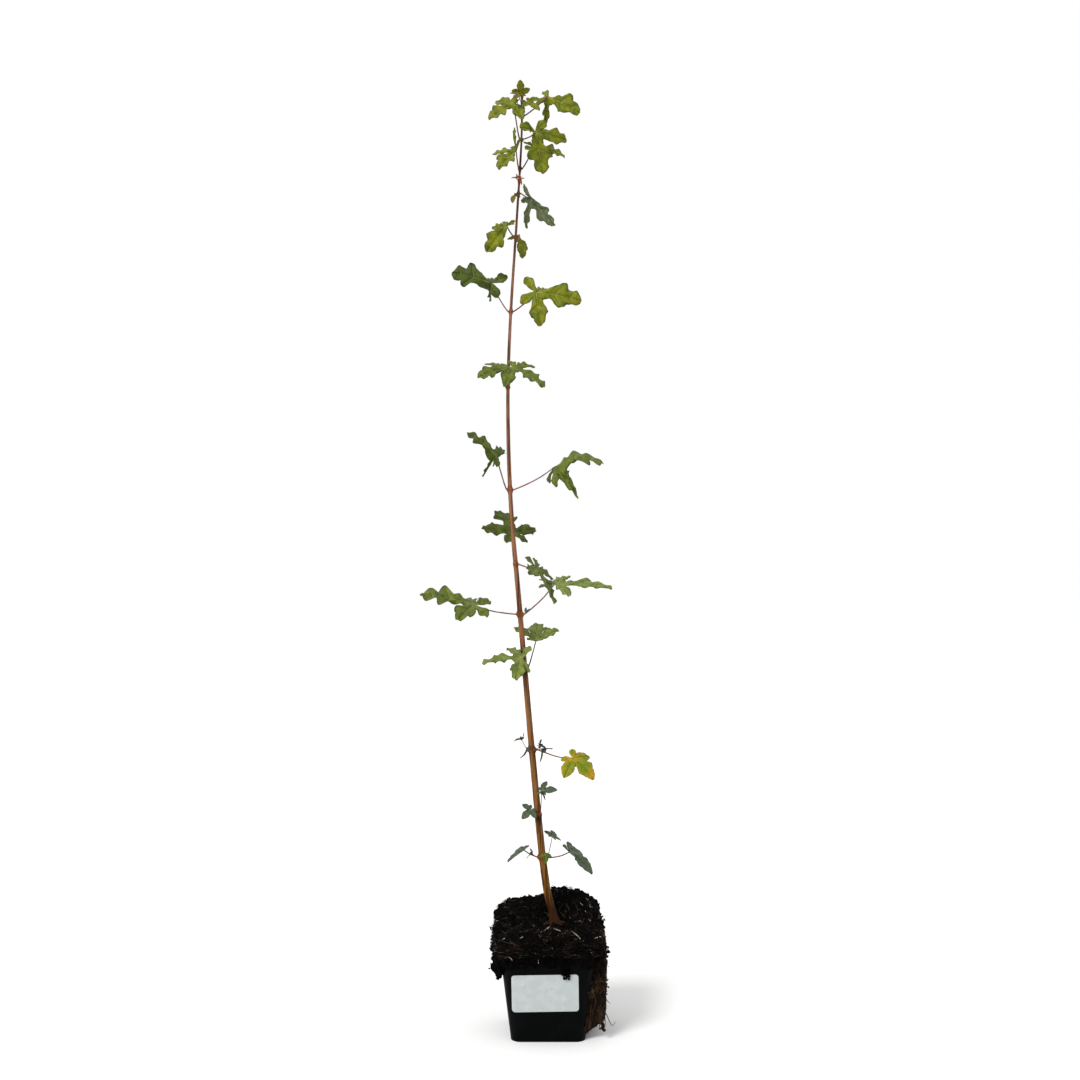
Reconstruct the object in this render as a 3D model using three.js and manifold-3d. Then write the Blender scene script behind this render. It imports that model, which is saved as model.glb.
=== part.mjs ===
// A young field maple in a square nursery pot.
// Millimetres, +Z up. The origin is the middle of the pot's flat underside, and the pot's front faces -Y.
// Each leaf, with its stalk, is one piece. So are the stem, the pot, the ball of compost and roots, and the label.
import * as THREE from 'three';
import { mergeVertices } from 'three/addons/utils/BufferGeometryUtils.js';
import Module from 'manifold-3d';

const wasm = await Module();
wasm.setup();

const { cos, sin, hypot, atan2, abs, exp, round } = Math;
const clamp = THREE.MathUtils.clamp;
const degrees = THREE.MathUtils.degToRad;
const vector = (x, y, z) => new THREE.Vector3(x, y, z);
const UP = vector(0, 0, 1);

// Clearance between two pieces that touch
const GAP = 0.3;

// The pot, a thin tapered square with rounded corners and four drain holes in its floor
const POT_HEIGHT = 94;
const POT_FOOT = 36.5;
const POT_RIM = 48;
const POT_WALL = 1.2;
const POT_FLOOR = 1.6;
const POT_CORNER = 13;
const DRAIN_WIDTH = 9;
const DRAIN_OUT = 21;

// The split in the pot's right wall, where the root ball bulges out
const SPLIT_HALF = 36;
const SPLIT_BOTTOM = 15;

// The label stuck to the front wall, a little askew
const LABEL_WIDTH = 65;
const LABEL_HEIGHT = 37;
const LABEL_THICK = 0.5;
const LABEL_CORNER = 3;
const LABEL_X = -3;
const LABEL_Z = 49.5;
const LABEL_ASKEW = 1;

// The ball of compost and roots: a squarish cap over the rim, whose skirt hangs lower on the left, with a mound
// at its back right, and a bulge through the split
const BALL_HALF = 52;
const BALL_MIDDLE = 89;
const BALL_TALL = 14;
const BALL_SQUARENESS = 8;
const BALL_CLUMP = 1.6;
const SKIRT = { from: -39, wide: 10, drop: 18 };
const BACK_RISE = 16;
const MOUND = { x: 17, y: 34, long: 28, wide: 22, height: 14 };
const BULGE = { x: 33.5, z: 53, half: [22.5, 34, 50], squareness: 6, chin: 20, slant: 1.1 };

// The stem: its foot, its tip, its half thickness at both, and the flare of the root collar
const STEM_FOOT = 103;
const STEM_TIP = 936;
const STEM_THIN = 1;
const STEM_THICK = 3;
const STEM_TAPER = 1.4;
const STEM_SIDES = 8;
const STEM_RING = 26;
const FLARE = 3.6;
const FLARE_HEIGHT = 5.5;
const NODE_SWELL = 0.2;
const NODE_REACH = 4;

// Places that the stem's middle line bends through
const STEM_LINE = [
  [7.5, 0, 102], [6.5, 0, 109], [0, 0, 134], [-5.5, -1, 172], [-17, -3, 290], [-29, -5, 429],
  [-37, -6, 524], [-40, -5, 629], [-37.5, -2, 709], [-31, 2, 814], [-26.5, 3, 892], [-26, 3, 937],
];

// Heights of the joints in the stem that carry the leaf stalks, from the lowest
const JOINTS = [172, 215, 280, 361, 415, 465, 539, 641, 717, 792, 836, 848, 861, 890, 914, 926, 934];

// The leaf stalk, thinner towards the blade, which it enters under the middle vein
const STALK_SIDES = 5;
const STALK_STEPS = 4;
const STALK_FOOT = 0.9;
const STALK_END = 0.6;
const STALK_SHOULDER = 1.2;
const STALK_SAG = 0.06;
const STALK_SUNK = 0.12;

// The blade has five lobes. Each has its turn in degrees from the middle one, its reach as a share of the middle
// one's, and the margin of its halves: [along the vein, out from it], as shares of the lobe's reach.
const BLADE_THICK = 0.9;
const VEIN_LAG = 0.7;
const CUP = 12;
const UNEVEN = 0.3;
const HEEL = 0.04;
const FIRST_FOOT = 0.1;
const MIDDLE = [[0.27, 0.1], [0.46, 0.21], [0.57, 0.36], [0.69, 0.19], [0.83, 0.19], [0.95, 0.08]];
const SIDE = [[0.3, 0.12], [0.56, 0.22], [0.73, 0.26], [0.93, 0.09]];
const BASAL = [[0.45, 0.24], [0.85, 0.2]];
const LOBES = [
  { turn: -133, reach: 0.42, margin: BASAL },
  { turn: -73, reach: 0.78, margin: SIDE },
  { turn: 0, reach: 1, margin: MIDDLE },
  { turn: 73, reach: 0.78, margin: SIDE },
  { turn: 133, reach: 0.42, margin: BASAL },
];
// The notches between the lobes, in order round the blade: [turn, reach]
const NOTCHES = [[-166, 0.1], [-103, 0.12], [-37, 0.17], [37, 0.17], [103, 0.12], [166, 0.1]];

// The leaves: the joint that each grows from, its stalk from the stem to the blade, the way from there to the
// middle lobe's tip, the way that the upper side looks, how many degrees the other four lobes are lifted, from
// the right basal one round to the left basal one, and how many degrees every lobe curls down.
const LEAVES = [
  ['leaf_1_left', 1, [-19, 3, 7], [-17, -6, -10], [0, 0.2, 1], [10, 10, 10, 10], 10],
  ['leaf_1_front', 1, [3, -10, 5], [0, -4, -8], [0, -1, 0], [-30, -20, -20, -30], 10],
  ['leaf_1_right', 1, [10, 4, 20], [2, 13, 3], [0.45, -0.25, 0.85], [0, 0, 0, 0], 10],
  ['leaf_1_far_right', 1, [27, -16, 9], [24, -8, -18], [0.5, -0.2, 0.8], [20, 30, 0, 20], 15],
  ['leaf_2_left', 2, [-7, -6, 6], [-9, -5, -8], [0, -0.8, 0.5], [0, 20, 0, 0], 20],
  ['leaf_2_right', 2, [4, -8, 25], [15, -4, 2], [0, -0.6, 0.8], [0, -80, 10, 0], 10],
  ['leaf_3_right', 3, [41, -5, -8], [23, -14, -14], [0.1, -0.75, 0.65], [0, 0, -20, 0], 35],
  ['leaf_4_left', 4, [-3, -21, 12], [-39, -6, 1], [0, -0.4, 0.9], [30, 0, -10, -40], 20],
  ['leaf_4_right', 4, [11, 10, 27], [2, 26, 20], [0, -0.5, 0.85], [40, 30, 30, 40], 20],
  ['leaf_5_left', 5, [-46, 0, 10], [-53, -4, 14], [0, -0.45, 0.9], [0, -20, 10, 0], 15],
  ['leaf_5_right', 5, [35, -5, 31], [57, 0, -2], [0, -0.2, 1], [0, 0, 0, 0], 8],
  ['leaf_6_back', 6, [-3, 22, 31], [-14, 26, 30], [0.35, -0.6, 0.65], [0, 0, 0, 0], 20],
  ['leaf_6_right', 6, [21, -22, -3], [21, -12, -33], [0.85, -0.3, 0.45], [0, 0, 0, 0], 10],
  ['leaf_7_left', 7, [-14, 4, 35], [-29, 10, 26], [0.2, -0.5, 0.6], [-80, -20, -80, 0], 10],
  ['leaf_7_right', 7, [44, -6, 23], [45, 6, 28], [0, -0.2, 1], [-40, -50, -30, -30], 55],
  ['leaf_8_left', 8, [-5, -10, 18], [-24, -16, -7], [-0.1, -0.7, 0.7], [0, 0, 0, 0], 30],
  ['leaf_8_right', 8, [6, -24, 17], [32, -14, -15], [0.2, -0.6, 0.75], [0, 0, 0, 0], 30],
  ['leaf_9_left', 9, [-20, 5, 30], [-41, 6, 15], [0, -0.85, 0.3], [0, -50, -80, 0], 15],
  ['leaf_9_right', 9, [25, -6, 19], [46, -4, -7], [0, -1, 0.25], [0, 0, -55, 0], 15],
  ['leaf_10_left', 10, [-9, -8, 10], [-20, -6, -26], [0, -1, 0], [-50, -50, 75, 60], 20],
  ['leaf_10_right', 10, [4, 8, 4], [4, 3, -23], [0.5, -0.8, 0.3], [-80, -75, -75, -80], 10],
  ['leaf_11_left', 11, [-4, -5, -1], [-2, -2, -10], [-0.5, -0.8, 0], [-60, -60, -60, -60], 10],
  ['leaf_11_right', 11, [13, -8, -7], [20, -18, -31], [-0.76, -0.65, -0.08], [0, 0, 60, 40], 20],
  ['leaf_13_left', 13, [-4, -5, 17], [-18, -20, -20], [-0.3, -0.7, 0.6], [0, 0, 80, 60], 15],
  ['leaf_13_right', 13, [14, 10, 25], [33, 6, -4], [0, -0.6, 0.8], [0, 0, 0, 0], 15],
  ['leaf_14_left', 14, [-8, -6, 35], [-25, -10, -17], [-0.2, -0.7, 0.7], [0, 0, -10, -30], 15],
  ['leaf_14_right', 14, [14, -18, 2], [8, -8, -41], [0.15, -0.95, 0.1], [0, 60, 0, 0], 20],
  ['leaf_15_left', 15, [-5, 9, 17], [-11, 2, -5], [0, -0.3, 0.9], [20, 20, 20, 20], 10],
  ['leaf_15_right', 15, [25, 0, 20], [33, -10, -17], [0.1, -0.95, 0.3], [-30, -60, -60, -30], 15],
  ['leaf_16_left', 16, [-3, -10, 6], [-4, -9, -6], [0, -0.6, 0.6], [10, 10, 10, 10], 10],
  ['leaf_16_right', 16, [6, -6, 0], [12, -6, -9], [0, -0.6, 0.6], [10, 10, 10, 10], 10],
  ['leaf_17', 17, [-1, 2, 4], [-1, -6, 11], [0, -0.9, 0.4], [0, 0, 0, 0], 0],
].map(([name, joint, stalk, tip, face, lift, droop]) => ({ name, joint, stalk, tip, face, lift, droop }));

// Turns a closed geometry into a solid that can be joined and cut
function solid(geometry) {
  const bare = geometry.clone();
  bare.deleteAttribute('normal');
  bare.deleteAttribute('uv');
  const merged = mergeVertices(bare);
  const vertProperties = merged.attributes.position.array;
  const triVerts = new Uint32Array(merged.index.array);
  return new wasm.Manifold(new wasm.Mesh({ numProp: 3, vertProperties, triVerts }));
}

// Turns a solid back into a geometry, without loose scraps
function shape(made) {
  const parts = made.decompose();
  const largest = parts.reduce((a, b) => (b.volume() > a.volume() ? b : a));
  const { vertProperties, triVerts } = largest.getMesh();
  const geometry = new THREE.BufferGeometry();
  geometry.setAttribute('position', new THREE.BufferAttribute(vertProperties, 3));
  geometry.setIndex(new THREE.BufferAttribute(triVerts, 1));
  geometry.computeVertexNormals();
  return geometry;
}

// Moves every vertex of a geometry by a function
function mould(geometry, move) {
  const place = geometry.attributes.position;
  const at = vector(0, 0, 0);
  for (let i = 0; i < place.count; i += 1) {
    at.fromBufferAttribute(place, i);
    move(at);
    place.setXYZ(i, at.x, at.y, at.z);
  }
  return geometry;
}

// A rectangle with round corners, given by its half sizes
function roundedRectangle(halfX, halfY, corner) {
  const outline = new THREE.Shape();
  outline.absarc(halfX - corner, halfY - corner, corner, 0, Math.PI / 2);
  outline.absarc(corner - halfX, halfY - corner, corner, Math.PI / 2, Math.PI);
  outline.absarc(corner - halfX, corner - halfY, corner, Math.PI, Math.PI * 1.5);
  outline.absarc(halfX - corner, corner - halfY, corner, Math.PI * 1.5, Math.PI * 2);
  return outline;
}

// Half the pot's outside width at a height
function potHalf(z) {
  return POT_FOOT + ((POT_RIM - POT_FOOT) * z) / POT_HEIGHT;
}

// A tapered block with the pot's corners, between two heights, grown sideways by a margin
function potBlock(bottom, top, grown) {
  const depth = top - bottom;
  const outline = roundedRectangle(POT_RIM, POT_RIM, POT_CORNER);
  const block = new THREE.ExtrudeGeometry(outline, { depth, bevelEnabled: false, curveSegments: 4 });
  return mould(block, (at) => {
    at.z += bottom;
    const share = (potHalf(at.z) + grown) / POT_RIM;
    at.x *= share;
    at.y *= share;
  });
}

// The box that the split leaves open in the right wall, smaller by a margin
function splitRoom(margin) {
  const height = POT_HEIGHT + 20 - SPLIT_BOTTOM - margin;
  const box = new THREE.BoxGeometry(30, 2 * (SPLIT_HALF - margin), height);
  return box.translate(POT_RIM, 0, SPLIT_BOTTOM + margin + height / 2);
}

function potGeometry() {
  const inside = potBlock(POT_FLOOR, POT_HEIGHT + 1, -POT_WALL);
  let pot = solid(potBlock(0, POT_HEIGHT, 0)).subtract(solid(inside)).subtract(solid(splitRoom(0)));
  for (const x of [-DRAIN_OUT, DRAIN_OUT]) {
    for (const y of [-DRAIN_OUT, DRAIN_OUT]) {
      const drain = new THREE.CylinderGeometry(DRAIN_WIDTH / 2, DRAIN_WIDTH / 2, 4 * POT_FLOOR, 12);
      drain.rotateX(Math.PI / 2).translate(x, y, 0);
      pot = pot.subtract(solid(drain));
    }
  }
  return shape(pot);
}

// The label follows the front wall and the start of its corners
function labelGeometry() {
  const outline = roundedRectangle(LABEL_WIDTH / 2, LABEL_HEIGHT / 2, LABEL_CORNER);
  const sticker = new THREE.ExtrudeGeometry(outline, { depth: 40, bevelEnabled: false, curveSegments: 3 });
  sticker.rotateZ(degrees(LABEL_ASKEW));
  sticker.rotateX(Math.PI / 2);
  sticker.translate(LABEL_X, -20, LABEL_Z);
  const outer = solid(potBlock(5, 85, GAP + LABEL_THICK));
  const inner = solid(potBlock(4, 86, GAP));
  return shape(solid(sticker).intersect(outer.subtract(inner)));
}

// Uneven clumps, from a few crossing waves
function clump({ x, y, z }) {
  return sin(x * 0.21 + z * 0.12) * sin(y * 0.19 + 1) + 0.6 * sin(z * 0.33 + x * 0.1 + y * 0.27);
}

// A lump with squarish sides about a middle: a ball whose points are pushed out, then swollen by the clumps
function lump(half, middle, squareness, sides, rings) {
  const ball = new THREE.SphereGeometry(1, sides, rings).rotateX(Math.PI / 2);
  return mould(ball, (at) => {
    const sum = abs(at.x) ** squareness + abs(at.y) ** squareness + abs(at.z) ** squareness;
    at.multiplyScalar(sum ** (-1 / squareness)).multiply(half);
    at.multiplyScalar(1 + (BALL_CLUMP * clump(at)) / BALL_HALF).add(middle);
  });
}

// How much the top of the compost rises: towards the back, and into a flat-topped mound
function rise(x, y) {
  const back = clamp((y + BALL_HALF) / (2 * BALL_HALF), 0, 1);
  const away = ((x - MOUND.x) / MOUND.long) ** 2 + ((y - MOUND.y) / MOUND.wide) ** 2;
  return BACK_RISE * back ** 2 + MOUND.height * exp(-(away ** 2));
}

function capGeometry() {
  const middle = vector(0, 0, BALL_MIDDLE);
  const cap = lump(vector(BALL_HALF, BALL_HALF, BALL_TALL), middle, BALL_SQUARENESS, 32, 16);
  return mould(cap, (at) => {
    const height = (at.z - BALL_MIDDLE) / BALL_TALL;
    const left = clamp((SKIRT.from - at.x) / SKIRT.wide, 0, 1);
    at.z += clamp(height + 0.3, 0, 1) * rise(at.x, at.y) - clamp(-height, 0, 1) * left * SKIRT.drop;
  });
}

// The bulge, whose underside slants in towards the pot's foot
function bulgeGeometry() {
  const middle = vector(BULGE.x, 0, BULGE.z);
  const bulge = lump(vector(...BULGE.half), middle, BULGE.squareness, 20, 12);
  return mould(bulge, (at) => {
    const share = clamp((at.x - BULGE.x) / BULGE.half[0], 0, 1);
    at.x -= share * BULGE.slant * Math.max(0, BULGE.chin - at.z);
  });
}

// The ball is the cap, the bulge and the filling of the pot, cut clear of the pot's wall and of the stem's foot
function ballGeometry() {
  const filling = potBlock(0, BALL_MIDDLE, -POT_WALL / 2);
  const room = solid(potBlock(POT_FLOOR + GAP, POT_HEIGHT + 2, -POT_WALL - GAP));
  const wall = solid(potBlock(-1, POT_HEIGHT + GAP, GAP)).subtract(room).subtract(solid(splitRoom(GAP)));
  const ball = solid(capGeometry()).add(solid(bulgeGeometry())).add(solid(filling));
  return shape(ball.subtract(wall).subtract(solid(stemGeometry(GAP))));
}

// A round limb through a row of rings, each with its middle, its radius and the way that it faces
function limb(rings, sides, across) {
  const last = rings.length - 1;
  const rod = new THREE.CylinderGeometry(1, 1, last, sides, last);
  return mould(rod, (at) => {
    const ring = rings[round(at.y + last / 2)];
    const side = across.clone().cross(ring.facing).normalize();
    const up = ring.facing.clone().cross(side).normalize();
    const [a, b] = [at.z * ring.radius, at.x * ring.radius];
    at.copy(ring.middle).addScaledVector(side, a).addScaledVector(up, b);
  });
}

const stemCurve = new THREE.CatmullRomCurve3(STEM_LINE.map((place) => vector(...place)));

// The stem's middle at a height, found along its curve by halving
function stemMiddle(z) {
  let [low, high] = [0, 1];
  for (let step = 0; step < 24; step += 1) {
    const middle = (low + high) / 2;
    if (stemCurve.getPoint(middle).z < z) low = middle;
    else high = middle;
  }
  return stemCurve.getPoint(low).setZ(z);
}

// The stem's half thickness at a height: a taper, the root collar and a swelling at each joint
function stemRadius(z) {
  const share = (z - STEM_FOOT) / (STEM_TIP - STEM_FOOT);
  const taper = STEM_THIN + STEM_THICK * clamp(1 - share, 0, 1) ** STEM_TAPER;
  const collar = FLARE * exp((STEM_FOOT - z) / FLARE_HEIGHT);
  const near = JOINTS.map((joint) => exp(-(((z - joint) / (NODE_REACH / 2)) ** 2)));
  return taper * (1 + NODE_SWELL * Math.max(...near)) + collar;
}

// The stem, grown by a margin: rings close together at the foot and the joints, and wider apart between them
function stemGeometry(grown) {
  const heights = [STEM_FOOT - grown, STEM_FOOT + 4, STEM_FOOT + 9, STEM_FOOT + 18, STEM_FOOT + 35];
  let below = heights[heights.length - 1];
  for (const joint of JOINTS) {
    const free = joint - NODE_REACH - below;
    const between = Math.floor(free / STEM_RING);
    for (let i = 1; i <= between; i += 1) heights.push(below + (free * i) / (between + 1));
    for (const z of [joint - NODE_REACH, joint, joint + NODE_REACH]) {
      if (z > heights[heights.length - 1] + 3 && z < STEM_TIP - 1) heights.push(z);
    }
    below = joint + NODE_REACH;
  }
  heights.push(STEM_TIP + grown);
  const rings = heights.map((z) => ({ middle: stemMiddle(z), radius: stemRadius(z) + grown, facing: UP }));
  return limb(rings, STEM_SIDES, vector(0, 1, 0));
}

// Where a leaf stands: its stalk's start on the stem, the blade's heel and the blade's three directions
function stance(leaf) {
  const height = JOINTS[leaf.joint - 1];
  const middle = stemMiddle(height);
  const heel = middle.clone().add(vector(...leaf.stalk));
  const out = vector(leaf.stalk[0], leaf.stalk[1], 0).normalize();
  const start = middle.clone().addScaledVector(out, stemRadius(height) + GAP);
  const along = vector(...leaf.tip);
  const size = along.length();
  along.normalize();
  const face = vector(...leaf.face);
  face.addScaledVector(along, -face.dot(along)).normalize();
  const left = face.clone().cross(along);
  return { out, start, heel, along, face, left, size };
}

// Puts a point of the flat blade into place: it curls down along an arc, stands off its vein by a height, and
// is turned up by its lobe's lift
function settle(leaf, where, x, y, off, lift) {
  const reach = hypot(x, y);
  const turn = atan2(y, x);
  const uneven = 1 + UNEVEN * cos(2 * turn + leaf.joint * 2);
  const curl = (degrees(leaf.droop) * uneven) / where.size || 1e-6;
  const out = sin(curl * reach) / curl;
  const up = off - (1 - cos(curl * reach)) / curl;
  const flat = out * cos(degrees(lift)) - up * sin(degrees(lift));
  const high = out * sin(degrees(lift)) + up * cos(degrees(lift));
  const at = where.heel.clone().addScaledVector(where.along, flat * cos(turn));
  return at.addScaledVector(where.left, flat * sin(turn)).addScaledVector(where.face, high);
}

// The blade's middle sheet, as points, faces and a mark on each point that lies on the margin. A notch is
// lifted half as its one lobe is and half as the other.
function bladeSheet(leaf, where) {
  const points = [];
  const rim = [];
  const faces = [];
  const lifts = [...leaf.lift.slice(0, 2), 0, ...leaf.lift.slice(2)];
  const put = (x, y, off, lift, onRim) => {
    const { size } = where;
    points.push(settle(leaf, where, x * size, y * size, off * size, lift));
    rim.push(onRim);
    return points.length - 1;
  };
  const middle = put(0, 0, 0, 0, false);
  const heel = put(-HEEL, 0, 0, 0, true);
  const notches = NOTCHES.map(([turn, reach], order) => {
    const lift = ((lifts[order - 1] ?? lifts[0]) + (lifts[order] ?? lifts[4])) / 2;
    return put(reach * cos(degrees(turn)), reach * sin(degrees(turn)), 0, lift, true);
  });
  LOBES.forEach(({ turn, reach, margin }, order) => {
    const [c, s] = [reach * cos(degrees(turn)), reach * sin(degrees(turn))];
    const inLobe = (far, wide, onRim) => {
      const off = abs(wide) * reach * sin(degrees(CUP));
      return put(c * far - s * wide, s * far + c * wide, off, lifts[order], onRim);
    };
    const feet = [inLobe(FIRST_FOOT, 0, false)];
    for (const [far, wide] of margin) feet.push(inLobe(far - VEIN_LAG * wide, 0, false));
    const tip = inLobe(1, 0, true);
    for (const side of [-1, 1]) {
      const edge = [notches[order + (side + 1) / 2]];
      for (const [far, wide] of margin) edge.push(inLobe(far, side * wide, true));
      const add = (a, b, c) => faces.push(side > 0 ? [a, b, c] : [a, c, b]);
      add(middle, feet[0], edge[0]);
      for (let k = 0; k + 1 < feet.length; k += 1) {
        add(feet[k], feet[k + 1], edge[k + 1]);
        add(feet[k], edge[k + 1], edge[k]);
      }
      add(feet[feet.length - 1], tip, edge[edge.length - 1]);
    }
  });
  faces.push([middle, notches[5], heel], [middle, heel, notches[0]]);
  return { points, rim, faces };
}

// Gives a sheet its thickness, which runs out to nothing at the margin, and closes it
function thicken({ points, rim, faces }, thick) {
  const sheet = new THREE.BufferGeometry().setFromPoints(points);
  sheet.setIndex(faces.flat());
  sheet.computeVertexNormals();
  const normal = vector(0, 0, 0);
  const both = points.map((at) => at.clone());
  const under = points.map((at, i) => i);
  points.forEach((at, i) => {
    if (rim[i]) return;
    normal.fromBufferAttribute(sheet.attributes.normal, i);
    both[i].addScaledVector(normal, thick / 2);
    under[i] = both.push(at.clone().addScaledVector(normal, -thick / 2)) - 1;
  });
  const closed = new THREE.BufferGeometry().setFromPoints(both);
  const below = faces.map(([a, b, c]) => [under[a], under[c], under[b]]);
  closed.setIndex([...faces.flat(), ...below.flat()]);
  return closed;
}

// The stalk leaves the stem sideways, sags a little on its way to the blade's heel and ends sunk in the blade
function stalkGeometry({ out, start, heel, along, left, size }) {
  const length = start.distanceTo(heel);
  const shoulder = start.clone().addScaledVector(out, Math.min(STALK_SHOULDER, length / 4));
  const bow = shoulder.clone().lerp(heel, 0.6).addScaledVector(UP, -STALK_SAG * length);
  const end = heel.clone().addScaledVector(along, STALK_SUNK * size);
  const route = new THREE.CatmullRomCurve3([start, shoulder, bow, heel, end]);
  const rings = [];
  for (let i = 0; i <= STALK_STEPS; i += 1) {
    const share = i / STALK_STEPS;
    const radius = STALK_FOOT + (STALK_END - STALK_FOOT) * share;
    rings.push({ middle: route.getPoint(share), radius, facing: i ? route.getTangent(share) : out });
  }
  return limb(rings, STALK_SIDES, left);
}

function leafGeometry(leaf) {
  const where = stance(leaf);
  const blade = solid(thicken(bladeSheet(leaf, where), BLADE_THICK));
  return shape(blade.add(solid(stalkGeometry(where))));
}

const finish = (color, roughness) => new THREE.MeshStandardMaterial({ color, roughness, metalness: 0 });
const bark = finish('#6d4a2c', 0.7);
const foliage = finish('#56612a', 0.6);
const yellowed = finish('#a08a2c', 0.6);
const plastic = finish('#0c0d10', 0.45);
const compost = finish('#1d1611', 1);
const paper = finish('#d8dcdc', 0.6);

function piece(name, geometry, material) {
  const mesh = new THREE.Mesh(geometry, material);
  mesh.name = name;
  return mesh;
}

const plant = new THREE.Group();
plant.add(piece('stem', stemGeometry(0), bark));
for (const leaf of LEAVES) {
  const material = leaf.name === 'leaf_3_right' ? yellowed : foliage;
  plant.add(piece(leaf.name, leafGeometry(leaf), material));
}

const maple = new THREE.Group();
maple.add(piece('pot', potGeometry(), plastic));
maple.add(piece('label', labelGeometry(), paper));
maple.add(piece('root_ball', ballGeometry(), compost));
maple.add(plant);

export default maple;
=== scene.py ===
# %% [markdown]
# # A young field maple in its nursery pot
# A hedging sapling, not yet a metre high: one thin stem, lobed leaves in pairs on red stalks, and a small
# black pot that its ball of compost has outgrown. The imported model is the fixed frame, and every piece made
# here takes the place of one of its nodes or sits on one.

# %% The frame
import math

import bpy
import numpy as np
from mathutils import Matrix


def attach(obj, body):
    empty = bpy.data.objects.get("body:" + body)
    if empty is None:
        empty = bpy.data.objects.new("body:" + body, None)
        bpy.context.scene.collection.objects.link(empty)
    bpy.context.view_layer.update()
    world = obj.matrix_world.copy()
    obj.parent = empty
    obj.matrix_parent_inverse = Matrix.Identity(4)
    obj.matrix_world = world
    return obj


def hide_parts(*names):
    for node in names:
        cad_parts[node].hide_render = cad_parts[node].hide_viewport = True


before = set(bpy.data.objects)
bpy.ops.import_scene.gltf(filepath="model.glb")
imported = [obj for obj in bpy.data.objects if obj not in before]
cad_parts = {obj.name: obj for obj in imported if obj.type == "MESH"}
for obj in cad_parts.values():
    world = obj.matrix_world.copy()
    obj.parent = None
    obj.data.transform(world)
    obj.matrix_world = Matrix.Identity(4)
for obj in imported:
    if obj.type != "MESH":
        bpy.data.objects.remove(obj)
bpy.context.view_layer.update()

# %% [markdown]
# ## Camera, floor and light
# The view is level, from 1.4 m in front of the stem, at half the plant's height, on plain white. A level
# camera keeps uprights upright. A wide pale floor and a white sky take the place of a paper background. One
# broad light from the left, in front and above, as from a big window, shapes the leaves. It is as strong far
# away as near, so the floor has no edge against the sky. The plain view transform keeps that white.

# %% The camera
IMAGE_SIZE = 1080
CAMERA_PLACE = (-0.008, -1.4, 0.489)
FOCAL_PIXELS = 1400
SENSOR_WIDTH = 36

camera_data = bpy.data.cameras.new("camera")
camera_data.sensor_width = SENSOR_WIDTH
camera_data.lens = FOCAL_PIXELS / IMAGE_SIZE * SENSOR_WIDTH
camera = bpy.data.objects.new("camera", camera_data)
camera.location = CAMERA_PLACE
camera.rotation_euler = (math.radians(90), 0, 0)
bpy.context.scene.collection.objects.link(camera)
bpy.context.scene.camera = camera
bpy.context.scene.view_settings.view_transform = "Standard"
print("lens", round(camera_data.lens, 2), "mm")


# %% Colours and nodes
def linear(code):
    """A hex colour, as a screen shows it, in linear light: c / 12.92 where c is small, else
    ((c + 0.055) / 1.055) to the power 2.4."""
    parts = [int(code[i : i + 2], 16) / 255 for i in (1, 3, 5)]
    return [c / 12.92 if c < 0.04045 else ((c + 0.055) / 1.055) ** 2.4 for c in parts] + [1.0]


def node(tree, kind, inputs=None, **settings):
    """Adds a node. Settings are its properties. Each input is a value, or the socket that feeds it."""
    made = tree.nodes.new(kind)
    for name, value in settings.items():
        setattr(made, name, value)
    for name, value in (inputs or {}).items():
        if isinstance(value, bpy.types.NodeSocket):
            tree.links.new(value, made.inputs[name])
        else:
            made.inputs[name].default_value = value
    return made


# The Mix node has its colour sockets at these places
MIX_SHARE, MIX_A, MIX_B, MIX_RESULT = 0, 6, 7, 2


def new_material(name, roughness, specular=0.5):
    """A material with one Principled shader, and its node tree."""
    material = bpy.data.materials.new(name)
    material.use_nodes = True
    shader = material.node_tree.nodes["Principled BSDF"]
    shader.inputs["Roughness"].default_value = roughness
    shader.inputs["Specular IOR Level"].default_value = specular
    return material, material.node_tree, shader


def mixed(tree, share, first, second):
    """Blends two colours, each a hex code or a socket, by a share."""
    a, b = (linear(c) if isinstance(c, str) else c for c in (first, second))
    values = {MIX_SHARE: share, MIX_A: a, MIX_B: b}
    return node(tree, "ShaderNodeMix", values, data_type="RGBA").outputs[MIX_RESULT]


def pattern(tree, scale, detail=3.0, stretch=(1, 1, 1)):
    """Cloudy noise over the piece's own place, with so many lumps to the metre, as a factor."""
    place = node(tree, "ShaderNodeTexCoord").outputs["Object"]
    turned = node(tree, "ShaderNodeMapping", {"Vector": place, "Scale": stretch}).outputs["Vector"]
    inputs = {"Vector": turned, "Scale": scale, "Detail": detail}
    return node(tree, "ShaderNodeTexNoise", inputs).outputs["Fac"]


def ranged(tree, factor, low, high, to_low=0.0, to_high=1.0):
    """Stretches a factor from one range to another, and holds it at the ends."""
    names = ("Value", "From Min", "From Max", "To Min", "To Max")
    values = dict(zip(names, (factor, low, high, to_low, to_high)))
    return node(tree, "ShaderNodeMapRange", values).outputs["Result"]


def mark(tree, name):
    """A number that the mesh carries at each of its points."""
    return node(tree, "ShaderNodeAttribute", attribute_name=name).outputs["Fac"]


def finish(tree, shader, colour, height=None, distance=0.0):
    """Gives the shader its colour, and a bump of so many metres."""
    tree.links.new(colour, shader.inputs["Base Color"])
    if height is not None:
        bump = node(tree, "ShaderNodeBump", {"Height": height, "Distance": distance})
        tree.links.new(bump.outputs["Normal"], shader.inputs["Normal"])


# %% The floor
FLOOR_HALF = 6.0

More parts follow.
